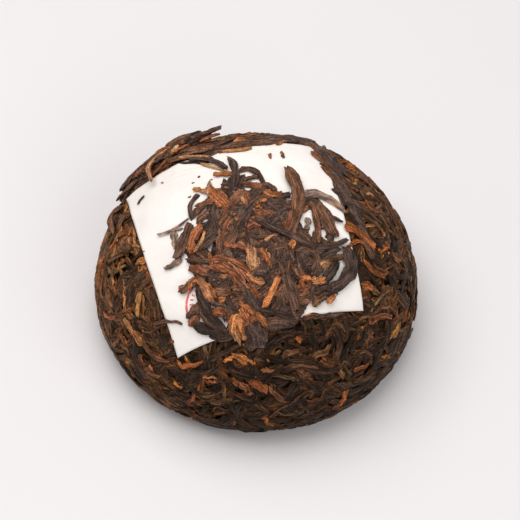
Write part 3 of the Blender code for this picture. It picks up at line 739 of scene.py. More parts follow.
# Russet leaf. Thinner reddish pieces, torn from the leaf's edges, which stay redder than the rest.
RUSSET_COUNT = 230
RUSSET_SHADES = [
    (0.00, (0.065, 0.023, 0.008)),
    (0.45, (0.165, 0.052, 0.014)),
    (1.00, (0.290, 0.098, 0.026)),
]
RUSSET_SIZES = [(0.004, 0.010), (0.0012, 0.0029), (0.0006, 0.0010), (-0.0009, -0.0001)]
russet_finish = leaf_finish("russet_leaf", RUSSET_SHADES)
pressed_kind("russet_leaf_strips", russet_finish, RUSSET_COUNT, 13, RUSSET_SIZES)


# Golden tips. Young buds that cure to orange and gold: short, slim, and pressed in less deep than the leaves.
TIP_COUNT = 70
TIP_SHADES = [
    (0.00, (0.220, 0.072, 0.014)),
    (0.50, (0.440, 0.155, 0.032)),
    (1.00, (0.600, 0.320, 0.100)),
]
TIP_SIZES = [(0.003, 0.008), (0.0008, 0.0019), (0.0006, 0.0010), (-0.0006, 0.0000)]
tip_finish = leaf_finish("golden_tip", TIP_SHADES)
pressed_kind("golden_tips", tip_finish, TIP_COUNT, 14, TIP_SIZES)


# Stems. Thin round leaf stalks, olive to grey-brown, longer and less folded than the leaves.
STEM_COUNT = 230
STEM_SHADES = [
    (0.00, (0.058, 0.035, 0.017)),
    (0.50, (0.124, 0.071, 0.031)),
    (1.00, (0.205, 0.127, 0.061)),
]
STEM_SIZES = [(0.007, 0.016), (0.0006, 0.0012), (0.0006, 0.0009), (-0.0008, 0.0000)]
stem_finish = leaf_finish("olive_stem", STEM_SHADES, gloss=0.55)
pressed_kind("olive_stems", stem_finish, STEM_COUNT, 15, STEM_SIZES, fold=0.04)


# Flakes. Broad flat pieces of leaf blade, thin, with their edges curled up or down by the pressing.
FLAKE_COUNT = 260
FLAKE_SHADES = [*BLACK_SHADES[1:3], (1.00, (0.150, 0.066, 0.026))]
FLAKE_SIZES = [(0.006, 0.012), (0.0028, 0.0052), (0.0003, 0.0005), (-0.0006, 0.0000)]
flake_finish = leaf_finish("leaf_flake", FLAKE_SHADES)
pressed_kind("leaf_flakes", flake_finish, FLAKE_COUNT, 16, FLAKE_SIZES, sides=12, fold=0.06, curl=0.10)


# Crumbs. Broken bits of every colour fill the last gaps between the strips.
CRUMB_COUNT = 1300
CRUMB_SHADES = [*BROWN_SHADES[:3], (0.92, RUSSET_SHADES[1][1]), (1.00, TIP_SHADES[1][1])]
CRUMB_SIZES = [(0.0015, 0.0045), (0.0006, 0.0017), (0.0005, 0.0009), (-0.0007, 0.0001)]
crumb_finish = leaf_finish("leaf_crumb", CRUMB_SHADES)
pressed_kind("leaf_crumbs", crumb_finish, CRUMB_COUNT, 17, CRUMB_SIZES, rings=5, sides=6)


# Strips named for the photographed side. Each is laid through its start, middle and end, picked in the photo,
# in its pixels. Then come its width and how far it stands above the skin, in millimetres, and its tone.
BLACK, BARK, DARK, BROWN, OLIVE, RED = 0.02, 0.12, 0.22, 0.34, 0.44, 0.54
RUSSET, ORANGE, AMBER, TAN, GOLD, GREY = 0.64, 0.74, 0.78, 0.83, 0.92, 1.0
MIXED_SHADES = [
    (0.00, (0.040, 0.025, 0.020)),
    (0.12, (0.072, 0.045, 0.036)),
    (0.22, (0.092, 0.048, 0.032)),
    (0.34, (0.160, 0.071, 0.040)),
    (0.44, (0.126, 0.069, 0.036)),
    (0.54, (0.200, 0.068, 0.036)),
    (0.64, (0.300, 0.100, 0.038)),
    (0.74, (0.430, 0.156, 0.051)),
    (0.83, (0.340, 0.163, 0.083)),
    (0.92, (0.520, 0.283, 0.116)),
    (1.00, (0.240, 0.162, 0.125)),
]
BODY_ROWS = [
    ("tuft_shade", (176, 161), (192, 161.5), (208, 161), 1.0, 0.9, BLACK),
    ("edge_gold", (218.5, 150), (235, 149), (251.5, 146), 1.0, 1.0, TAN),
    ("back_red", (251, 134), (259, 134.5), (267, 137), 0.8, 0.9, RUSSET),
    ("left_red", (152, 175), (160, 165), (170, 158), 2.0, 1.2, RED),
    ("left_dark", (139, 172), (146, 166), (150, 158), 1.8, 2.2, DARK),
    ("left_spike", (115, 199.5), (119, 195), (125, 190), 1.1, 2.0, BROWN),
    ("band_red", (339, 177.5), (347, 179), (354, 178.5), 1.1, 0.5, RUSSET),
    ("band_spot", (343, 183), (351, 186), (359, 189), 1.4, 0.5, RED),
    ("band_rim", (359, 176), (366, 180), (372, 186), 1.3, 0.5, RED),
    ("band_ochre", (367, 194), (371, 193), (376, 196), 0.8, 0.5, TAN),
    ("band_blob", (366, 200), (370, 202.5), (374, 203), 1.5, 0.45, RED),
    ("band_low", (368, 207), (375, 209.5), (383, 211), 1.1, 0.45, RED),
    ("band_hook", (347, 212), (351, 210), (355, 216), 0.9, 0.5, BROWN),
    ("band_thin", (364, 226), (371, 225), (379, 224.5), 0.7, 0.5, TAN),
    ("band_dot", (384, 231), (384.5, 234), (384, 238), 0.7, 0.5, ORANGE),
    ("band_slope", (388, 228), (393, 232), (398, 237), 0.8, 0.45, BROWN),
    ("band_dark", (326, 180), (340, 193), (352, 206), 1.8, 0.4, DARK),
    ("band_grey", (322, 155), (340, 165), (357, 174), 1.8, 0.3, BROWN),
    ("side_start", (365, 259), (373, 270), (385, 276), 1.1, 0.5, RUSSET),
    ("side_loop", (374, 262), (383, 269.5), (394, 265), 0.6, 0.55, BROWN),
    ("side_blob", (363, 286), (368, 286), (373, 288), 2.0, 0.4, RUSSET),
    ("side_olive", (373, 288), (376, 291), (379, 294), 1.5, 0.35, OLIVE),
    ("side_low", (379, 310), (387, 306.5), (395, 309.5), 0.9, 0.5, BROWN),
    ("side_leaf", (370, 323.5), (380, 316.5), (393, 317.5), 1.5, 0.5, RED),
    ("side_bar", (362, 316.5), (371, 314), (381, 311), 0.9, 0.45, DARK),
    ("side_ring", (369, 325), (368, 331), (374, 339), 0.9, 0.45, OLIVE),
    ("side_arch", (330, 336), (337, 323.5), (348, 334), 1.1, 0.4, DARK),
    ("side_mark", (385, 300), (388.5, 299), (392, 298), 0.8, 0.5, BROWN),
    ("knob_leaf", (111, 224), (119, 218), (127, 216), 2.3, 0.6, DARK),
    ("knob_red", (118, 243), (124, 236), (131, 227), 3.1, 0.4, BROWN),
    ("knob_dot", (117, 235), (120, 233), (124, 232), 1.5, 0.9, RUSSET),
    ("edge_ochre", (122.5, 212), (125, 209), (126, 205), 0.8, 0.6, TAN),
    ("edge_slip", (133, 229), (133.5, 236), (134, 243.5), 0.9, 0.5, TAN),
    ("edge_bit", (109, 248), (111, 245), (114, 241), 1.1, 0.6, RUSSET),
    ("edge_flake", (136, 262), (141, 260), (147.5, 258.5), 1.6, 0.5, AMBER),
    ("edge_low", (141, 267), (146, 273), (150, 280), 1.5, 0.4, RUSSET),
    ("left_black", (126, 286), (136, 278), (147, 272), 2.0, 0.35, BARK),
    ("left_black_b", (136, 292), (144, 284), (153, 279), 1.8, 0.35, DARK),
    ("left_olive", (107, 262), (113, 257), (121, 254), 1.4, 0.4, OLIVE),
    ("left_brown", (103, 254), (99, 270), (97, 289), 1.1, 0.4, RUSSET),
    ("left_brown_b", (105, 262), (102, 276), (101, 290), 0.9, 0.4, RED),
    ("left_brown_c", (112, 270), (110, 281), (109, 292), 1.1, 0.4, DARK),
    ("side_gold_b", (140.5, 294), (143, 304), (142, 316), 0.8, 0.4, RED),
    ("side_bark", (149, 290), (153, 304), (156, 319), 3.1, 0.3, DARK),
    ("side_black", (131, 288), (129, 299), (127, 309), 2.0, 0.4, BARK),
    ("side_pink", (123, 294), (124, 303), (124, 312), 0.8, 0.5, TAN),
    ("side_crescent", (102, 311), (108, 318), (117, 316), 1.0, 0.5, RUSSET),
    ("side_spots", (119, 313), (125, 311), (133, 309), 0.8, 0.5, RUSSET),
    ("side_thin", (119, 319), (122, 325), (124, 331), 0.7, 0.5, BROWN),
    ("side_chip", (162, 355), (166, 353), (170, 350), 1.0, 0.5, DARK),
    ("side_chip_b", (170, 340), (171.5, 342.5), (173, 346), 0.8, 0.5, RED),
    ("side_bead", (148.5, 367), (150, 368.5), (152, 370), 1.0, 0.6, AMBER),
    ("side_scrap", (139, 356), (140.5, 361), (142.5, 366), 1.4, 0.4, RED),
    ("side_vee", (109, 339), (113, 346), (118, 338), 0.8, 0.45, BROWN),
    ("side_bow", (119, 346), (125, 349), (128, 355), 0.8, 0.45, OLIVE),
    ("side_tick", (137, 325), (140, 328), (145, 329), 0.8, 0.5, BROWN),
    ("low_black", (152, 330), (160, 342), (172, 352), 3.1, 0.3, BLACK),
    ("low_arc", (141, 333), (153, 331), (167, 322), 0.9, 0.5, DARK),
    ("front_scrap", (243.5, 345), (248, 346), (253, 349.5), 1.1, 0.6, RUSSET),
    ("front_dark", (184, 374), (206, 373.5), (229, 364), 1.8, 0.35, BLACK),
    ("front_dark_b", (207, 362), (224, 353), (246, 343), 1.4, 0.4, BLACK),
    ("front_ochre", (222, 382), (224, 391), (224, 401), 0.9, 0.45, OLIVE),
    ("front_slip", (232, 382), (236, 384), (241, 387.5), 0.9, 0.45, RUSSET),
    ("front_bar", (208, 402), (219, 402.5), (232, 400.5), 1.4, 0.35, DARK),
    ("front_curl", (181, 399), (190, 402.5), (193, 394), 0.9, 0.45, RED),
    ("front_tail", (170, 397), (176, 399), (183, 401.5), 0.8, 0.4, DARK),
    ("front_chip", (230, 421), (234, 420.5), (239, 419.5), 1.0, 0.4, RED),
    ("front_chip_b", (262.5, 419), (266, 421.5), (269, 424), 1.1, 0.4, RUSSET),
    ("front_red", (285, 369), (303, 366), (319, 368), 1.0, 0.5, DARK),
    ("front_spot", (299, 371), (304, 374.5), (311, 376), 1.6, 0.45, DARK),
    ("front_dot", (297, 338), (299, 339.5), (301.5, 341), 1.1, 0.6, RUSSET),
    ("front_olive", (283, 357), (290, 353), (299, 352), 1.4, 0.45, OLIVE),
    ("front_olive_b", (313, 356), (324, 352.5), (331, 345), 1.5, 0.4, OLIVE),
    ("front_knob", (338, 371), (342, 373.5), (344.5, 378.5), 1.5, 0.6, OLIVE),
    ("front_wire", (343, 368), (345, 362), (351, 366), 0.6, 0.5, DARK),
    ("front_flame", (355, 370), (362, 368), (369, 364), 1.1, 0.45, RUSSET),
    ("front_ember", (346, 386), (354, 384), (363, 378), 1.3, 0.4, DARK),
    ("front_ember_b", (336, 384), (344, 386.5), (352, 385), 1.1, 0.35, BARK),
    ("front_twig", (270, 418), (289, 404.5), (311, 390), 0.6, 0.6, DARK),
    ("front_flow", (270, 387), (277, 396.5), (288, 402.5), 1.2, 0.4, BROWN),
    ("front_hook", (308, 401), (320, 400), (324, 392), 0.8, 0.45, RED),
    ("front_lip", (295, 411), (304, 412.5), (315, 411), 0.9, 0.35, BARK),
    ("front_tail_b", (333, 409), (338, 406), (344, 402), 0.7, 0.4, RED),
    ("front_pink", (361, 354), (366, 352), (372, 356), 0.7, 0.5, DARK),
    ("back_orange", (232, 142.5), (238, 139), (247, 137), 1.1, 0.8, ORANGE),
    ("back_ochre", (277, 143.5), (281, 141), (285.5, 139.5), 1.3, 0.7, TAN),
    ("back_gold", (219, 150.5), (230, 149), (243, 146.5), 0.8, 0.9, TAN),
    ("back_bark", (285, 138), (303, 140), (322, 148), 1.5, 0.5, DARK),
    ("back_bark_b", (262, 139), (280, 137), (297, 140), 1.5, 0.5, BARK),
    ("left_knob", (119, 207), (109.5, 216), (112, 231), 2.3, 1.6, BROWN),
    ("left_knob_b", (124, 214), (119, 222), (115, 230), 2.0, 1.0, BROWN),
    ("left_knob_c", (121, 207), (115, 216), (114, 228), 3.0, 0.8, BARK),
    ("body_orange", (347, 224.5), (360, 232), (375, 246), 2.2, 1.3, RUSSET),
    ("body_orange_b", (380, 250), (386, 246.5), (391, 241), 1.8, 0.4, RUSSET),
    ("body_loop", (351, 245), (360, 241), (372, 249), 0.9, 1.0, RUSSET),
    ("front_orange", (232, 355), (243, 359.5), (253.5, 365), 1.9, 0.6, ORANGE),
    ("front_prong", (233, 357.5), (228, 359.5), (224, 362), 0.9, 0.6, ORANGE),
    ("front_pad", (263.5, 370), (268, 371.5), (273.5, 371), 1.4, 0.45, RED),
    ("front_orange_b", (340.5, 406), (344, 399), (347, 391.5), 1.8, 0.4, ORANGE),
    ("front_box", (202.5, 378), (209, 377.5), (216, 378.5), 0.6, 0.55, TAN),
    ("front_box_b", (204, 381), (210, 382.5), (216, 382), 0.6, 0.55, RUSSET),
    ("side_gold", (138.5, 292), (137.5, 303), (136, 316.5), 1.4, 0.8, GOLD),
    ("side_orange", (124, 319), (131, 331), (141.5, 344), 1.7, 0.5, TAN),
    ("side_orange_b", (133, 332), (137, 339), (141.5, 345), 1.1, 0.6, RUSSET),
    ("side_ribbon", (143, 343), (154, 357.5), (168, 361.5), 1.5, 0.6, BROWN),
    ("side_ribbon_b", (177, 361), (186, 367.5), (201, 362), 1.1, 0.8, RUSSET),
    ("front_mid", (240, 383), (246.5, 389.5), (253, 397), 1.4, 0.45, RED),
    ("front_mid_b", (248.5, 382), (257, 385), (267, 393), 2.2, 0.45, RUSSET),
    ("rim_right", (312, 151), (320, 157), (329, 168), 1.5, 1.1, RED),
    ("rim_right_b", (323, 166), (332, 175), (342, 185), 1.5, 0.9, BROWN),
    ("right_long", (329, 183), (350, 198), (370, 212), 1.4, 0.5, DARK),
    ("right_long_b", (356, 201), (369, 211), (382, 222), 1.4, 0.5, DARK),
    ("right_long_c", (345, 203), (362, 212), (378, 226), 1.4, 0.45, BARK),
    ("right_long_d", (382, 213), (391, 224), (399, 238), 1.4, 0.45, DARK),
    ("right_rim", (372, 182), (385, 194), (394, 207), 1.1, 0.5, BARK),
    ("right_dark", (345, 192), (354, 195), (364, 197), 2.2, 0.4, BLACK),
    ("right_dark_b", (380, 236), (386, 238), (391, 237), 2.4, 0.35, BLACK),
    ("right_curl", (368, 204), (376, 210), (382, 203), 1.0, 0.5, BROWN),
]

# How often and how far a placed strip wavers, how much lower it lies than its stand, how much of its dive its
# ends take, how thick it may be, and how blunt its ends are at least.
WAVES_ALONG = (6.0, 15.0)
WAVER_ASIDE = 0.00006
STANDS_IN = 0.0002
DIVE_SHARE = (-0.3, 1.0)
THICK_SPREAD = (0.8, 1.15)
THICK_MOST = 0.8
PLACED_BLUNT = 0.38


def placed_strips(
    name, finish, rows, seed, rings=22, sides=12, thick=0.0011, dive=0.0004, fold=0.075, press=0.0007
):
    """Strips laid one by one, each on the parabola through its start, its middle and its end.

    Three sines waver the line, and it is drawn to the crown. Its lift falls towards both ends by a parabola.
    """
    draw = np.random.default_rng(seed)
    count = len(rows)
    width, stand, tone = np.array([row[4:7] for row in rows]).T
    width, stand = width / 1000, stand / 1000
    ends = seen_at([row[1:4] for row in rows], stand[:, None])
    share = np.linspace(0.0, 1.0, rings)[:, None]
    plan = ends[:, None, 0] * (1 - share) * (1 - 2 * share) + ends[:, None, 1] * 4 * share * (1 - share)
    plan = plan + ends[:, None, 2] * share * (2 * share - 1)
    often = draw.uniform(*WAVES_ALONG, (count, 3, 1, 2))
    waves = np.sin(often * share + draw.uniform(0.0, RANDOM_TURN, (count, 3, 1, 2)))
    plan = plan + WAVER_ASIDE * waves.sum(1) * np.sin(math.pi * share)
    line, normals = on_crown(plan[..., 0], plan[..., 1])
    fall = draw.uniform(*DIVE_SHARE, (count, 1)) * dive * (2 * share[:, 0] - 1) ** 2
    lift = stand[:, None] - STANDS_IN - fall
    thickness = np.minimum(thick * draw.uniform(*THICK_SPREAD, count), width * THICK_MOST)
    strips = (line, normals, width, thickness, lift, lift + press)
    points, own, _ = leaf_points(*strips, draw, sides, fold=fold, tip=PLACED_BLUNT)
    leaf_piece(name, finish, points, own, np.repeat(tone[:, None], points.shape[1], 1), rings, sides)


PRESSED_TINT = np.array([0.92, 0.81, 0.60])  # pressed strips are darker and warmer than loose ones
PRESSED_SHADES = [(place, PRESSED_TINT * colour) for place, colour in MIXED_SHADES]
pressed_finish = leaf_finish("pressed_leaf", PRESSED_SHADES, shift=0.06, crease_shade=0.46)
placed_strips("body_strips", pressed_finish, BODY_ROWS, 21, rings=16, thick=0.0009, press=0.00005)


# The loose tuft. At the back left of the crown some strips weren't pressed down and stand off the skin in a
# bundle. Broad sheets of leaf lie lowest, the strips lie over them, and small loose ones fill the bundle.
TUFT_COUNT = 110
TUFT_ROWS = [
    ("tuft_back", (168, 143), (187, 138), (205, 136), 2.3, 2.9, DARK),
    ("tuft_tip", (192, 138), (206, 132), (220.5, 127.5), 1.5, 4.3, DARK),
    ("tuft_tip_low", (199, 140), (209, 136), (219, 132), 0.9, 3.8, RED),
    ("tuft_prop", (190, 141), (200, 137), (210, 133.5), 1.6, 3.5, BARK),
    ("tuft_prop_low", (188, 143), (198, 140), (208, 137), 2.0, 2.7, DARK),
    ("tuft_spur", (184, 138), (192, 133.5), (200, 128.5), 1.0, 4.4, BARK),
    ("tuft_flake", (171, 152), (174, 149), (176.5, 145.5), 1.4, 2.8, GOLD),
    ("tuft_left", (151.5, 156), (160, 149.5), (169.5, 145), 1.0, 3.3, RUSSET),
    ("tuft_hook", (150, 179), (150, 163), (168.5, 147), 1.2, 2.9, TAN),
    ("tuft_broad", (175, 152.5), (188, 147), (204.5, 143), 3.1, 2.0, DARK),
    ("tuft_brown", (184.5, 150), (198, 148), (211.5, 146.5), 1.8, 2.0, BROWN),
    ("tuft_low", (175, 158.5), (191, 156), (209.5, 157), 1.0, 1.5, TAN),
    ("tuft_right", (214, 146), (226, 140.5), (238, 136.5), 1.8, 1.4, DARK),
    ("tuft_bud", (234, 141.5), (240, 138.5), (245.5, 138), 1.3, 1.4, ORANGE),
    ("tuft_roll_a", (120, 189), (129, 176.5), (140, 167), 1.5, 2.6, BARK),
    ("tuft_roll_b", (136, 172), (146, 161), (157, 152.5), 1.5, 2.7, DARK),
    ("tuft_roll_c", (166, 145), (180, 137.5), (197, 133), 1.5, 3.4, BROWN),
    ("tuft_roll_d", (178, 143), (191, 139), (207, 135), 1.3, 3.2, RED),
]
TUFT_SHEETS = [
    ("tuft_sheet_a", (149, 162), (176, 149), (206, 141), 4.3, 1.7, DARK),
    ("tuft_sheet_b", (167, 156), (192, 149), (216, 143), 5.1, 1.6, BROWN),
    ("tuft_sheet_c", (128, 184), (146, 168), (168, 156), 4.1, 1.1, BROWN),
    ("tuft_sheet_d", (204, 152), (226, 146), (252, 142.5), 3.1, 0.9, DARK),
    ("tuft_sheet_f", (124, 183), (138, 168), (153, 156), 3.1, 2.6, BROWN),
    ("tuft_sheet_g", (146, 162), (157, 153), (171, 145), 3.1, 3.0, DARK),
    ("tuft_sheet_e", (119, 198), (128, 187), (141, 174), 2.3, 1.5, DARK),
    ("tuft_sheet_h", (118, 194), (127, 181), (139, 170), 3.1, 1.9, BARK),
]
# The small loose ones: where the bundle starts, how far it runs and how far it spreads, in millimetres on the
# plan, which part of the run they lie on, and then their sizes.
TUFT_X = (-28.5, 16.5, 1.0)
TUFT_Y = (18.0, 6.0, 1.6)
TUFT_PART = (-0.1, 0.8)
TUFT_LENGTH = (0.003, 0.008)
TUFT_WIDTH = (0.0007, 0.0020)
TUFT_THICK = 0.5  # of the width
TUFT_LIFT = (-0.0002, 0.0026)
TUFT_UNEVEN = 0.00010
TUFT_STRAY = 0.35
TUFT_ROOM = 0.0006
TUFT_RINGS = 14
TUFT_DIVE = 0.0010
LOOSE_SIDES = 10
TUFT_TONES = {BLACK: 0.16, BARK: 0.24, DARK: 0.26, BROWN: 0.20, RED: 0.10, RUSSET: 0.04}
mixed_finish = leaf_finish("mixed_leaf", MIXED_SHADES, shift=0.06, crease_shade=0.50)


def loose_strips(name, strips, draw, sides, tones, paler=0.0):
    """One object of loose strips, from their lines, normals, widths, thicknesses, lifts and ceilings.

    Each strip's tone is drawn from these tones by the share that each has.
    """
    points, own, _ = leaf_points(*strips, draw, sides)
    tone = draw.choice(list(tones), (len(points), 1), p=list(tones.values())) + paler
    tone = np.repeat(tone, points.shape[1], 1)
    leaf_piece(name, mixed_finish, points, own, tone, strips[0].shape[1], sides)


placed_strips(
    "tuft_sheets", mixed_finish, TUFT_SHEETS, 28, rings=34, sides=26, thick=0.0008, dive=TUFT_DIVE, fold=0.07
)
placed_strips("tuft_strips", mixed_finish, TUFT_ROWS, 22, dive=TUFT_DIVE)
draw = np.random.default_rng(23)
part = draw.uniform(*TUFT_PART, TUFT_COUNT)
x, y = (
    (start + run * part + draw.normal(0.0, spread, TUFT_COUNT)) / 1000
    for start, run, spread in (TUFT_X, TUFT_Y)
)
size = draw.uniform(*TUFT_LENGTH, TUFT_COUNT)
line, normals = laid_lines(on_crown(x, y)[0], draw, size, TUFT_RINGS, stray=TUFT_STRAY)
lift = draw.uniform(*TUFT_LIFT, (TUFT_COUNT, 1)) + draw.normal(0.0, TUFT_UNEVEN, (TUFT_COUNT, TUFT_RINGS))
wide = draw.uniform(*TUFT_WIDTH, TUFT_COUNT)
clear = inside_by(line, BARE_PAPER).max(1) < -wide / 2
strips = [column[clear] for column in (line, normals, wide, wide * TUFT_THICK, lift, lift + TUFT_ROOM)]
loose_strips("tuft_fill", strips, draw, LOOSE_SIDES, TUFT_TONES)


# Strips over the paper's margin. The last handful of tea closed over the paper's back and right edges. At the
# back they lie along the edge and are paler, and at the right they slant away from it.
MARGIN_COUNT = 210
MARGIN_CORNERS = 28  # they lie beside this many corners of the bare paper's outline, from its first one on
SLANT_FROM = 19  # the corner where the back ends
SLANT = 0.5
MARGIN_STRAY = 0.22
MARGIN_OUT = (0.0009, 0.0045)
MARGIN_LENGTH = (0.005, 0.011)
MARGIN_WIDTH = (0.0011, 0.0024)
MARGIN_THICK = 0.45
MARGIN_LIFT = (0.0001, 0.0006)
MARGIN_CEILING = 0.0010
MARGIN_OVERLAP = 0.0002
MARGIN_RINGS = 12
BACK_PALER = 0.08
MARGIN_TONES = {BLACK: 0.33, BARK: 0.27, DARK: 0.23, BROWN: 0.13, RED: 0.03, RUSSET: 0.01}
draw = np.random.default_rng(24)
run = draw.uniform(0.0, 1.0, MARGIN_COUNT) * MARGIN_CORNERS
corner = np.floor(run).astype(int)
blend = (run - corner)[:, None]
margin = BARE_PAPER[corner] * (1 - blend) + BARE_PAPER[corner + 1] * blend
side_way = unit(BARE_PAPER[corner + 1] - BARE_PAPER[corner])
outward = np.stack([-side_way[:, 1], side_way[:, 0]], -1)
slant = np.where(corner < SLANT_FROM, 0.0, SLANT)[:, None]
heading = side_way + outward * (slant + draw.normal(0.0, MARGIN_STRAY, (MARGIN_COUNT, 1)))
margin = margin + outward * draw.uniform(*MARGIN_OUT, (MARGIN_COUNT, 1))
share = np.linspace(-0.5, 0.5, MARGIN_RINGS)[:, None]
plan = margin[:, None] + heading[:, None] * (draw.uniform(*MARGIN_LENGTH, (MARGIN_COUNT, 1, 1)) * share)
line, normals = on_crown(plan[..., 0], plan[..., 1])
wide = draw.uniform(*MARGIN_WIDTH, MARGIN_COUNT)
clear = inside_by(line, BARE_PAPER).max(1) < MARGIN_OVERLAP - wide / 2
lift = np.repeat(draw.uniform(*MARGIN_LIFT, (MARGIN_COUNT, 1)), MARGIN_RINGS, 1)
ceiling = np.full_like(lift, MARGIN_CEILING)
strips = [column[clear] for column in (line, normals, wide, wide * MARGIN_THICK, lift, ceiling)]
paler = np.where(corner[clear] < SLANT_FROM, BACK_PALER, 0.0)[:, None]
loose_strips("margin_strips", strips, draw, LOOSE_SIDES, MARGIN_TONES, paler)


# The patch over the paper. A loose handful of strips lies across the paper's middle and reaches the front
# over its lower edge. A thin bed of packed leaf is under it, and the paper shows through gaps at its sides.
PATCH_AT = np.array([0.0010, -0.0110])
BED_REACH = np.array([8, 8, 8.5, 9, 10, 10.5, 10, 10.5, 11.5, 13, 14, 15, 14, 12, 10, 9]) / 1000
BED_THICK = 0.00035
BED_RELIEF = 0.00018
BED_PITCH = 0.004
BED_ROUNDNESS = 0.7
BED_RINGS = 40
BED_SIDES = 96
PATCH_LENGTH = (0.0040, 0.0135)
PATCH_WIDTH = (0.0010, 0.0028)
PATCH_LIFT = (0.0002, 0.0010)
PATCH_DIVE = 0.0006
PATCH_DIVE_SHARE = (-0.2, 0.9)
PATCH_BESIDE = 0.5  # the share of its width that a strip keeps from a gap
PATCH_UNEVEN = 0.00010
PATCH_ROOM = 0.0007
PATCH_RINGS = 12
PATCH_TRIES = 5000
PATCH_INSET = 0.0004
PATCH_THICK, PATCH_THICKEST = 0.6, 0.0011
PATCH_TONES = {
    BLACK: 0.18, BARK: 0.29, DARK: 0.28, BROWN: 0.13, OLIVE: 0.03, RED: 0.06, RUSSET: 0.02, TAN: 0.01,
}
# Round the handful, and the gaps where the paper shows, in pixels of the photo. A gap's reach is in metres.
PATCH_SEEN = [
    (214, 188), (222, 190), (223, 181), (229, 168), (240, 172), (240, 184), (252, 186), (264, 184),
    (276, 190), (289, 198), (300, 193), (318, 194), (333, 200), (346, 212), (352, 240), (357, 262),
    (356, 277), (350, 284), (345, 290), (337, 293.5), (333, 300), (316, 306), (306, 313), (299, 321),
    (262, 334), (233, 345), (219, 341), (211, 335), (200, 331.5), (190, 326), (187, 320), (193, 308),
    (193, 298), (186, 289), (190, 279), (189, 271), (184, 262), (175, 256), (176, 246), (181, 237),
    (182, 226), (189, 216), (190, 203), (197, 193), (206, 187),
]
PAPER_GAPS = [
    ((332, 208), 0.0012), ((336, 212.5), 0.0011), ((337, 219.5), 0.0008), ((341.5, 226), 0.0011),
    ((343.5, 233), 0.0013), ((338.5, 240), 0.0009), ((304.5, 222), 0.0011), ((309, 217), 0.0007),
    ((312, 223), 0.0009), ((313.5, 231), 0.0008), ((347, 245.5), 0.0007), ((340, 251.5), 0.0008),
    ((321, 236), 0.0005), ((325, 271.5), 0.0009), ((340.5, 268), 0.0007), ((338, 273.5), 0.0009),
    ((335.5, 279), 0.0012), ((320.5, 292.5), 0.0007), ((197, 200), 0.0009), ((203, 211.5), 0.0008),
    ((193.5, 224.5), 0.0013), ((213, 250.5), 0.0008), ((203.5, 266), 0.0006), ((247.5, 176.5), 0.0008),
    ((250.5, 192.5), 0.0006), ((219, 183), 0.0009), ((199, 316), 0.0008), ((200.5, 320), 0.0008),
    ((203, 325), 0.0006), ((219.5, 318), 0.0009), ((222.5, 321), 0.0008), ((191.5, 296), 0.0010),
    ((341, 261), 0.0005), ((331.5, 263.5), 0.0005), ((299, 258), 0.0005), ((304, 261), 0.0004),
]
PATCH_COUNT = 330
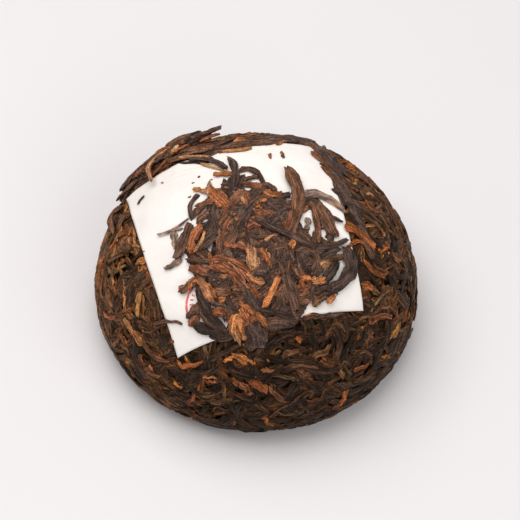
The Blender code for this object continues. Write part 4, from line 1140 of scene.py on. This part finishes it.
PATCH_ROWS = [
    ("top_leaf", (228.5, 157), (234.5, 168), (234, 186), 2.3, 1.5, BARK),
    ("rim_tongue", (190, 158.5), (208, 158), (225, 167), 1.7, 1.3, BARK),
    ("gold_sliver", (200.5, 162.5), (216, 167), (231.5, 171.5), 0.8, 0.9, GOLD),
    ("red_top", (213.5, 173.5), (221, 173), (232, 174), 1.0, 1.2, RUSSET),
    ("top_arch_a", (238, 171), (253, 169), (263.5, 183), 1.2, 1.3, DARK),
    ("top_arch_b", (240, 181), (249, 177.5), (261, 174), 1.0, 1.1, DARK),
    ("neck_leaf", (223, 184), (232, 186), (244, 188), 3.3, 1.0, BARK),
    ("neck_dark", (228, 201), (232, 190), (238, 177), 3.4, 1.3, BLACK),
    ("neck_brown", (240, 183), (251, 184), (262, 187), 1.4, 1.2, RED),
    ("neck_side", (244, 197), (249, 193), (256, 194), 2.0, 1.0, BARK),
    ("neck_low", (252, 196), (258, 190), (268, 189), 2.4, 0.9, DARK),
    ("right_nub", (261, 184), (269, 185.5), (276, 190), 1.2, 1.2, DARK),
    ("orange_nub", (266, 190), (273, 193.5), (282, 192), 1.6, 1.5, RUSSET),
    ("black_nub", (278, 196), (285, 195), (290, 192.5), 1.2, 1.3, BLACK),
    ("orange_leaf", (211, 190), (219, 197), (227, 207), 3.0, 1.7, RUSSET),
    ("orange_leaf_b", (207, 186), (212, 192), (214, 201), 1.6, 1.5, RUSSET),
    ("slant_leaf", (243, 190), (232, 202), (221, 214), 2.4, 1.5, BROWN),
    ("slant_edge", (240, 194), (231, 204), (222, 216), 0.8, 1.9, RED),
    ("tan_nib", (240.5, 196), (243.5, 199), (246.5, 204), 1.1, 1.7, TAN),
    ("tan_curl", (255.5, 203), (260, 200), (266, 200), 1.0, 1.8, ORANGE),
    ("tan_curl_b", (256, 205), (259, 206.5), (262.5, 206.5), 0.8, 1.8, ORANGE),
    ("slate_leaf", (251, 206), (245, 213), (238, 223), 3.2, 1.6, BARK),
    ("slate_left", (224, 213), (234, 208), (247, 210), 2.1, 1.4, BARK),
    ("slate_right", (261, 206), (275, 203), (289, 205), 3.4, 1.1, BARK),
    ("slate_low", (270, 221), (279, 214), (287, 210), 3.0, 1.2, BARK),
    ("red_line", (252, 216.5), (260, 218), (268, 222), 0.8, 1.8, RED),
    ("brown_bed", (256, 212), (264, 211), (274, 213), 1.4, 1.5, RED),
    ("long_top", (287.5, 165.5), (298, 192), (293, 229), 2.8, 1.8, BROWN),
    ("long_top_foot", (292, 212), (289, 221), (287, 231), 2.2, 1.3, RED),
    ("right_olive", (303, 194.5), (324, 195.5), (345, 210), 2.0, 1.3, GREY),
    ("folded_leaf", (311, 202), (317, 220), (317, 241), 1.7, 1.2, BROWN),
    ("folded_leaf_b", (317, 201), (325, 217), (335, 236), 3.2, 1.2, BROWN),
    ("folded_ridge", (319, 213), (325, 223), (332, 234), 0.9, 1.6, DARK),
    ("folded_ridge_b", (312, 207), (317, 218), (320, 229), 0.8, 1.5, BROWN),
    ("thin_bridge", (326, 212), (334, 217), (343, 221), 0.8, 1.2, BARK),
    ("grey_chip", (306, 218), (309, 222), (307, 227), 1.4, 1.2, GREY),
    ("long_cross", (255.5, 219), (286, 233.5), (316.5, 247), 1.6, 2.0, BARK),
    ("cross_end", (312, 246.5), (332, 245), (348, 238.5), 1.4, 1.6, BARK),
    ("cross_low", (314, 251), (326, 250.5), (339, 248), 1.8, 1.1, DARK),
    ("orange_pin", (193.5, 188.5), (200, 189.5), (207, 191.5), 1.0, 1.2, ORANGE),
    ("grey_pin", (209.5, 181.5), (209, 187), (207.5, 194.5), 1.0, 1.6, GREY),
    ("curl_dark", (197, 193.5), (189.5, 206), (192, 217.5), 1.3, 1.1, BARK),
    ("brown_bar", (210, 198), (202, 206), (194, 214), 1.6, 1.4, BROWN),
    ("brown_bar_b", (209, 209), (203, 216), (196, 222), 1.5, 1.1, BROWN),
    ("stem", (156.5, 234), (171, 230), (188, 217.5), 0.6, 1.0, GREY),
    ("stem_fork", (170, 231), (176, 230), (182, 227.5), 0.4, 0.9, GREY),
    ("pale_chip", (174, 233), (174, 240), (175.5, 247), 1.8, 0.8, GREY),
    ("left_bark", (189.5, 224), (184, 238), (176, 257), 2.4, 1.4, DARK),
    ("red_leaf", (201, 227), (193, 238), (191, 252), 2.2, 1.6, RUSSET),
    ("gold_edge", (204.5, 231), (200.5, 241), (194.5, 251), 0.8, 2.0, TAN),
    ("black_bar", (217, 234), (209, 240), (199, 247), 2.0, 1.6, BARK),
    ("brown_post", (217.5, 231), (219, 243), (219, 255), 1.5, 1.5, BROWN),
    ("ember", (235.5, 217), (237, 218.5), (239.5, 219.5), 0.9, 1.9, ORANGE),
    ("rust_spot", (249, 227), (254, 224), (260, 226), 1.3, 1.6, RED),
    ("tan_flake", (265, 240), (270, 236.5), (277, 234), 1.1, 1.7, TAN),
    ("orange_bud", (294.5, 239), (293.5, 243), (291, 247), 1.4, 1.9, ORANGE),
    ("pink_bar", (224, 244), (230, 245.5), (237, 246.5), 1.0, 1.7, RUSSET),
    ("dark_plate", (217, 251), (231, 251), (245, 254), 3.2, 1.1, BARK),
    ("bark_block", (286, 240), (286, 251), (287, 263), 3.6, 1.2, DARK),
    ("bark_block_b", (274, 247), (275, 258), (276, 270), 3.2, 1.1, DARK),
    ("yellow_flake", (250.5, 246), (252, 256), (253.5, 267), 2.8, 1.8, TAN),
    ("rust_flake", (260, 248), (265, 255), (270, 264), 1.4, 1.6, RUSSET),
    ("tan_post", (209.5, 252), (209.5, 258), (210, 264), 0.8, 1.7, RUSSET),
    ("brown_shelf", (187, 260), (199, 261), (212, 262), 1.5, 1.5, DARK),
    ("twig_stub", (164, 268), (171, 265.5), (180, 259), 1.4, 1.0, GREY),
    ("rough_red", (189, 267), (199, 270), (210, 273), 2.4, 1.2, RED),
    ("red_ridges", (212, 263), (231, 268), (249, 285), 4.2, 1.5, RED),
    ("red_ridges_b", (214, 257.5), (233, 261), (250, 272), 1.6, 1.8, RED),
    ("red_finger", (212, 266), (219, 268.5), (228, 272), 1.3, 2.0, RUSSET),
    ("pale_ridge", (227, 261.5), (234, 266.5), (239, 273.5), 0.6, 2.1, TAN),
    ("ridge_end", (236, 280), (243, 285), (250, 292), 1.4, 1.5, BROWN),
    ("gold_mid", (247.5, 273), (255, 279.5), (264, 281.5), 1.4, 1.9, AMBER),
    ("slate_mid", (252, 277), (258, 272.5), (266, 274), 1.7, 1.6, BARK),
    ("ember_mid", (251.5, 288), (254.5, 292), (257, 297), 1.3, 1.7, RUSSET),
    ("orange_stick", (279, 277.5), (272, 292), (265, 306.5), 1.6, 1.9, ORANGE),
    ("purple_bar", (284, 273), (290, 290), (297, 312), 2.8, 1.7, DARK),
    ("slate_slope", (246, 289), (252, 300), (261, 311), 2.8, 1.4, BARK),
    ("amber_left", (195, 279), (191, 283), (188.5, 289.5), 1.1, 1.7, ORANGE),
    ("twig_low", (179, 290.5), (187, 286), (196, 279), 2.1, 1.4, BROWN),
    ("gold_leaf", (199, 280), (205, 289), (211, 301), 2.3, 1.7, AMBER),
    ("amber_edge", (207.5, 286), (211, 290), (215, 297), 0.9, 1.9, ORANGE),
    ("brown_steps", (214, 288), (221, 291.5), (229, 294), 2.0, 1.5, BROWN),
    ("amber_dot", (218.5, 300), (221.5, 299), (225, 297.5), 1.2, 1.7, ORANGE),
    ("stem_end", (233.5, 292.5), (237, 292), (241, 292.5), 1.7, 1.7, OLIVE),
    ("black_long", (198, 289), (206, 309), (226, 332), 2.5, 1.8, BLACK),
    ("arc_low", (211, 302), (219, 304.5), (230, 308), 1.1, 1.5, BARK),
    ("brown_low", (200, 305), (193.5, 311), (187, 318), 2.5, 1.3, DARK),
    ("amber_low", (196, 317), (192, 321), (190, 326), 2.3, 1.2, RED),
    ("brown_low_b", (201, 306), (205, 320), (222, 329), 1.5, 1.5, DARK),
    ("black_low", (194, 323), (207, 331), (228, 334), 2.0, 1.1, BLACK),
    ("black_low_b", (211, 335), (220, 337), (231, 335), 2.2, 0.9, BLACK),
    ("edge_twig", (152, 324), (168, 321.5), (181.5, 324.5), 0.9, 0.7, DARK),
    ("bud_a", (214, 311), (218, 311.5), (222, 312), 2.0, 1.8, RUSSET),
    ("bud_b", (226, 309.5), (226.5, 314.5), (226.5, 319.5), 2.3, 1.6, BROWN),
    ("dark_flake", (247, 319), (251, 332), (256, 345), 3.8, 0.8, BARK),
    ("dark_flake_b", (256, 320), (260, 332), (262, 344), 3.2, 0.6, BARK),
    ("flake_tip", (242, 314), (235.5, 327), (240, 341), 3.0, 1.5, AMBER),
    ("flake_ember", (240, 326), (242, 332), (244.5, 339), 1.2, 1.8, ORANGE),
    ("brown_nib", (223.5, 287), (226.5, 288.5), (229.5, 290.5), 1.2, 1.7, BROWN),
    ("pink_nib", (220, 276), (223, 276.5), (226, 276), 0.9, 2.1, TAN),
    ("ribbed_fan", (240, 308), (243, 313), (246, 319), 2.3, 1.6, RUSSET),
    ("orange_slope", (239.5, 302), (247, 307.5), (254, 314), 1.3, 1.8, RUSSET),
    ("orange_slope_b", (255, 314), (261, 319), (266.5, 324.5), 1.5, 1.6, RUSSET),
    ("low_cross", (256, 310), (275, 313), (294, 318), 1.5, 1.6, BLACK),
    ("low_fill_a", (262, 322), (280, 319.5), (300, 317.5), 2.5, 1.1, DARK),
    ("low_fill_b", (266, 328), (282, 325), (297, 321), 2.2, 0.8, BARK),
    ("low_fill_c", (270, 318), (283, 322), (294, 325), 1.6, 1.0, BLACK),
    ("ring_out", (346, 249), (351, 272), (330, 290), 3.5, 1.4, BARK),
    ("ring_in", (339, 261), (332, 271), (325, 282), 2.0, 1.2, BLACK),
    ("ring_side", (350, 257), (355, 266), (355.5, 278), 1.0, 1.1, BROWN),
    ("tan_chip", (321, 266), (325.5, 264), (330.5, 265), 1.6, 1.5, TAN),
    ("orange_chip_a", (314, 281.5), (319, 280.5), (324.5, 280), 2.2, 1.7, AMBER),
    ("orange_chip_b", (302, 277.5), (306, 278.5), (311, 277), 1.3, 1.6, ORANGE),
    ("orange_chip_c", (302.5, 280), (302, 284.5), (306, 289), 1.1, 1.6, RUSSET),
    ("brown_twig", (296, 298), (305, 295), (315, 295), 1.9, 1.4, BROWN),
    ("brown_twig_b", (297, 290), (306, 288), (316, 288), 2.0, 1.2, RED),
    ("olive_low", (314.5, 306.5), (319, 300.5), (326, 296), 1.9, 1.3, OLIVE),
    ("orange_low", (329, 303), (332, 299), (335, 296), 1.3, 1.3, ORANGE),
    ("low_right_a", (296, 301), (303, 301.5), (310, 299.5), 1.7, 0.9, BROWN),
    ("low_right_b", (297, 305), (302, 305), (306, 304), 1.7, 0.8, BARK),
    ("low_right_c", (299, 317), (300.5, 311.5), (304, 307), 1.4, 0.8, DARK),
    ("front_edge_a", (304, 318), (314, 316), (325, 316), 1.3, 0.6, DARK),
    ("front_edge_b", (322, 316), (333, 315.5), (344, 314.5), 1.1, 0.55, BARK),
    ("front_edge_c", (306, 318), (309, 316), (312, 314.5), 0.9, 0.7, ORANGE),
    ("ring_foot", (322, 296), (333, 292), (346, 284), 1.7, 1.0, BARK),
    ("olive_mid", (322, 260), (333, 258.5), (344, 256.5), 1.9, 1.2, OLIVE),
    ("dark_mid", (320, 257), (328, 252.5), (337, 250), 2.0, 1.4, BLACK),
    ("right_mid_a", (299, 249), (308, 253), (319, 255), 1.7, 1.1, BARK),
    ("right_mid_d", (300, 253), (305, 261), (308, 271), 2.9, 1.0, BARK),
    ("right_mid_e", (296, 258), (299, 267), (303, 276), 1.6, 1.1, DARK),
    ("right_mid_f", (313, 251), (318, 262), (314, 275), 2.5, 1.2, DARK),
    ("right_mid_b", (303, 267), (312, 263), (321, 260), 1.6, 1.0, DARK),
    ("right_mid_c", (299, 271), (307, 272), (316, 273), 1.9, 1.0, BLACK),
    ("ring_foot_b", (315, 291), (326, 287.5), (338, 290), 2.3, 1.0, BARK),
    ("left_mid_a", (196, 251), (203, 255), (211, 263), 2.1, 1.0, DARK),
    ("left_mid_b", (200, 246), (205, 250), (209, 256), 1.4, 0.9, BARK),
]

PATCH_OUTLINE = seen_at(PATCH_SEEN)
gap_at = seen_at([place for place, _ in PAPER_GAPS])
gap_reach = np.array([reach for _, reach in PAPER_GAPS])
bed_turn = -np.arange(BED_SIDES) * (2 * math.pi / BED_SIDES)
knot = np.mod(bed_turn / (2 * math.pi), 1.0) * len(BED_REACH)
before = np.floor(knot).astype(int)
blend = (1.0 - np.cos((knot - before) * math.pi)) / 2
bed_far = BED_REACH[before % len(BED_REACH)] * (1 - blend) + BED_REACH[(before + 1) % len(BED_REACH)] * blend
round_edge = np.linspace(0.0, math.pi, BED_RINGS + 2)[1:-1, None]
bed_reach = bed_far * np.sin(round_edge) ** BED_ROUNDNESS
bed_x = np.append(PATCH_AT[0] + bed_reach * np.cos(bed_turn), [PATCH_AT[0]] * 2)
bed_y = np.append(PATCH_AT[1] + bed_reach * np.sin(bed_turn), [PATCH_AT[1]] * 2)
bed_high = np.append(np.repeat(BED_THICK * np.cos(round_edge), BED_SIDES), [BED_THICK, -BED_THICK])
bed_surface, bed_normals = on_crown(bed_x, bed_y)
bed_high = bed_high + BED_THICK + BED_RELIEF * bumps(bed_surface, BED_PITCH, 8) * (bed_high > 0)
bed_points = bed_surface + bed_normals * bed_high[:, None]
bed = put_mesh("patch_bed", bed_points, *tube_faces(1, BED_RINGS, BED_SIDES))
bed.data.materials.append(core_finish)
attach(bed, "root")
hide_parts("tea_body")


def in_handful(draw, tries, count, length, width, rings, beside):
    """Wandering lines at random places: the first ones that keep inside the handful and clear of its gaps.

    From the outline a line keeps an inset and half its width, and from a gap this share of its width.
    """
    low, high = PATCH_OUTLINE.min(0), PATCH_OUTLINE.max(0)
    middle = low + (high - low) * draw.uniform(0.0, 1.0, (tries, 2))
    plan = wandering(draw.uniform(0.0, math.pi, tries), draw.uniform(*length, tries), rings, draw)
    plan = plan + middle[:, None]
    wide = draw.uniform(*width, tries)
    gaps = np.linalg.norm(plan[:, :, None] - gap_at, axis=-1) - gap_reach - wide[:, None, None] * beside
    fits = (inside_by(plan, PATCH_OUTLINE).min(1) > PATCH_INSET + wide / 2) & (gaps.min((1, 2)) > 0.0)
    fits &= np.cumsum(fits) <= count
    return *on_crown(plan[fits, :, 0], plan[fits, :, 1]), wide[fits]


draw = np.random.default_rng(25)
line, normals, wide = in_handful(
    draw, PATCH_TRIES, PATCH_COUNT, PATCH_LENGTH, PATCH_WIDTH, PATCH_RINGS, beside=PATCH_BESIDE
)
share = np.linspace(-1.0, 1.0, PATCH_RINGS)
lift = draw.uniform(*PATCH_LIFT, (len(line), 1))
lift = lift - draw.uniform(*PATCH_DIVE_SHARE, (len(line), 1)) * PATCH_DIVE * share**2
lift = lift + draw.normal(0.0, PATCH_UNEVEN, lift.shape)
strips = (line, normals, wide, np.minimum(wide * PATCH_THICK, PATCH_THICKEST), lift, lift + PATCH_ROOM)
loose_strips("patch_fill", strips, draw, LOOSE_SIDES, PATCH_TONES)
placed_strips("patch_strips", mixed_finish, PATCH_ROWS, 26)


# Broken bits on the patch. Short crumbs of every tone that lie on the handful's strips and between them.
BIT_COUNT = 80
BIT_LENGTH = (0.0010, 0.0036)
BIT_WIDTH = (0.0004, 0.0013)
BIT_LIFT = (0.0006, 0.0015)
BIT_UNEVEN = 0.00012
BIT_RINGS = 6
BIT_TRIES = 1600
BIT_SIDES = 7
BIT_THICK, BIT_THICKEST = 0.7, 0.0008
BIT_TONES = {
    BLACK: 0.18, BARK: 0.24, DARK: 0.22, BROWN: 0.12, OLIVE: 0.04, RED: 0.08, RUSSET: 0.05, ORANGE: 0.03,
    TAN: 0.04,
}
draw = np.random.default_rng(29)
line, normals, wide = in_handful(draw, BIT_TRIES, BIT_COUNT, BIT_LENGTH, BIT_WIDTH, BIT_RINGS, beside=0.0)
lift = np.repeat(draw.uniform(*BIT_LIFT, (len(line), 1)), BIT_RINGS, 1)
lift = lift + draw.normal(0.0, BIT_UNEVEN, lift.shape)
strips = (line, normals, wide, np.minimum(wide * BIT_THICK, BIT_THICKEST), lift, lift + PATCH_ROOM)
loose_strips("patch_bits", strips, draw, BIT_SIDES, BIT_TONES)


# Crumbs on the paper: a few dark specks and two slivers of leaf that lie loose on the white.
PAPER_CRUMBS = [
    ("red_crumb", (269.5, 153), (270, 155), (271, 157), 0.8, 0.7, RED),
    ("dark_crumb", (281.5, 150.5), (282.5, 153.5), (284, 156.5), 0.9, 0.7, RED),
    ("sliver", (241.5, 167), (244, 166.5), (246.5, 167), 0.7, 0.6, RED),
    ("speck_a", (191.5, 183), (192.5, 182.5), (194, 182), 0.5, 0.55, DARK),
    ("speck_b", (198, 176.5), (198.5, 176), (199.5, 175.5), 0.45, 0.55, DARK),
    ("speck_c", (210, 179), (211, 179), (212, 178.5), 0.40, 0.55, GREY),
    ("speck_d", (160.5, 182), (161.5, 182), (162.5, 181.5), 0.40, 0.55, GREY),
    ("speck_e", (187.5, 197), (189, 196.5), (190.5, 196), 0.50, 0.55, GREY),
    ("fleck", (137, 203.5), (139.5, 199.5), (143, 195.5), 0.8, 0.7, DARK),
]
placed_strips("paper_crumbs", mixed_finish, PAPER_CRUMBS, 27, rings=6, sides=8, thick=0.0004, dive=0.0)


# The floor, the light and the camera: a pale plain floor, a wide soft light above and a little behind, a
# weaker one at the front, and a long lens that looks down at the crown from 55 degrees.
FLOOR_REACH = 3.0
FLOOR_BELOW = 0.0001
FLOOR_SHADES = [(0.3, (0.700, 0.679, 0.690)), (0.7, (0.720, 0.699, 0.710))]
LIGHT_AIM = (0.0, 0.0, 0.02)
ROOM_COLOUR = (1.0, 0.985, 0.98, 1.0)
ROOM_STRENGTH = 0.37
SENSOR = 0.036
PHOTO_SIDE = 520.0
NEAR_CLIP, FAR_CLIP = 0.01, 10.0

floor_finish, tree, shader = new_finish("pale_floor")
place = wired(tree, "ShaderNodeTexCoord", {}).outputs["Object"]
tree.links.new(shades(tree, noise(tree, place, 6.0), FLOOR_SHADES), shader.inputs["Base Color"])
shader.inputs["Roughness"].default_value = 0.9
corners = np.array([(-1, -1, 0), (1, -1, 0), (1, 1, 0), (-1, 1, 0)]) * FLOOR_REACH - (0, 0, FLOOR_BELOW)
floor = put_mesh("floor", corners, np.array([[0, 1, 2, 3]]), np.empty((0, 3), int))
floor.data.materials.append(floor_finish)


def soft_light(name, power, size, place, colour):
    """A square light of so many watts at a place, turned to the cake's middle."""
    light = bpy.data.lights.new(name, "AREA")
    light.energy = power
    light.size = size
    light.color = colour
    lamp = bpy.data.objects.new(name, light)
    bpy.context.scene.collection.objects.link(lamp)
    lamp.location = place
    lamp.rotation_euler = (Vector(LIGHT_AIM) - Vector(place)).to_track_quat("-Z", "Y").to_euler()


soft_light("key_light", power=3.8, size=0.60, place=(-0.15, 0.07, 0.60), colour=(1.0, 0.985, 0.965))
soft_light("fill_light", power=2.0, size=0.60, place=(0.36, -0.42, 0.50), colour=(0.99, 0.985, 0.98))
world = bpy.data.worlds.new("studio")
world.use_nodes = True
room = world.node_tree.nodes["Background"].inputs
room["Color"].default_value = ROOM_COLOUR
room["Strength"].default_value = ROOM_STRENGTH
bpy.context.scene.world = world
bpy.context.scene.view_settings.view_transform = "Standard"

aside = (PHOTO_SIDE / 2 - PHOTO_MIDDLE[0]) / PHOTO_LENS
above = (PHOTO_MIDDLE[1] - PHOTO_SIDE / 2) / PHOTO_LENS
aim = unit(forward + rightward * aside + upward * above)
right = unit(rightward - aim * (rightward @ aim))
up = np.cross(right, aim)
lens = bpy.data.cameras.new("camera")
lens.sensor_width = SENSOR * 1000
lens.lens = SENSOR * 1000 * PHOTO_LENS / PHOTO_SIDE
lens.clip_start = NEAR_CLIP
lens.clip_end = FAR_CLIP
camera = bpy.data.objects.new("camera", lens)
bpy.context.scene.collection.objects.link(camera)
rows = [[*row, shift] for row, shift in zip(np.stack([right, up, -aim], -1), eye)]
camera.matrix_world = Matrix([*rows, [0.0, 0.0, 0.0, 1.0]])
bpy.context.scene.camera = camera
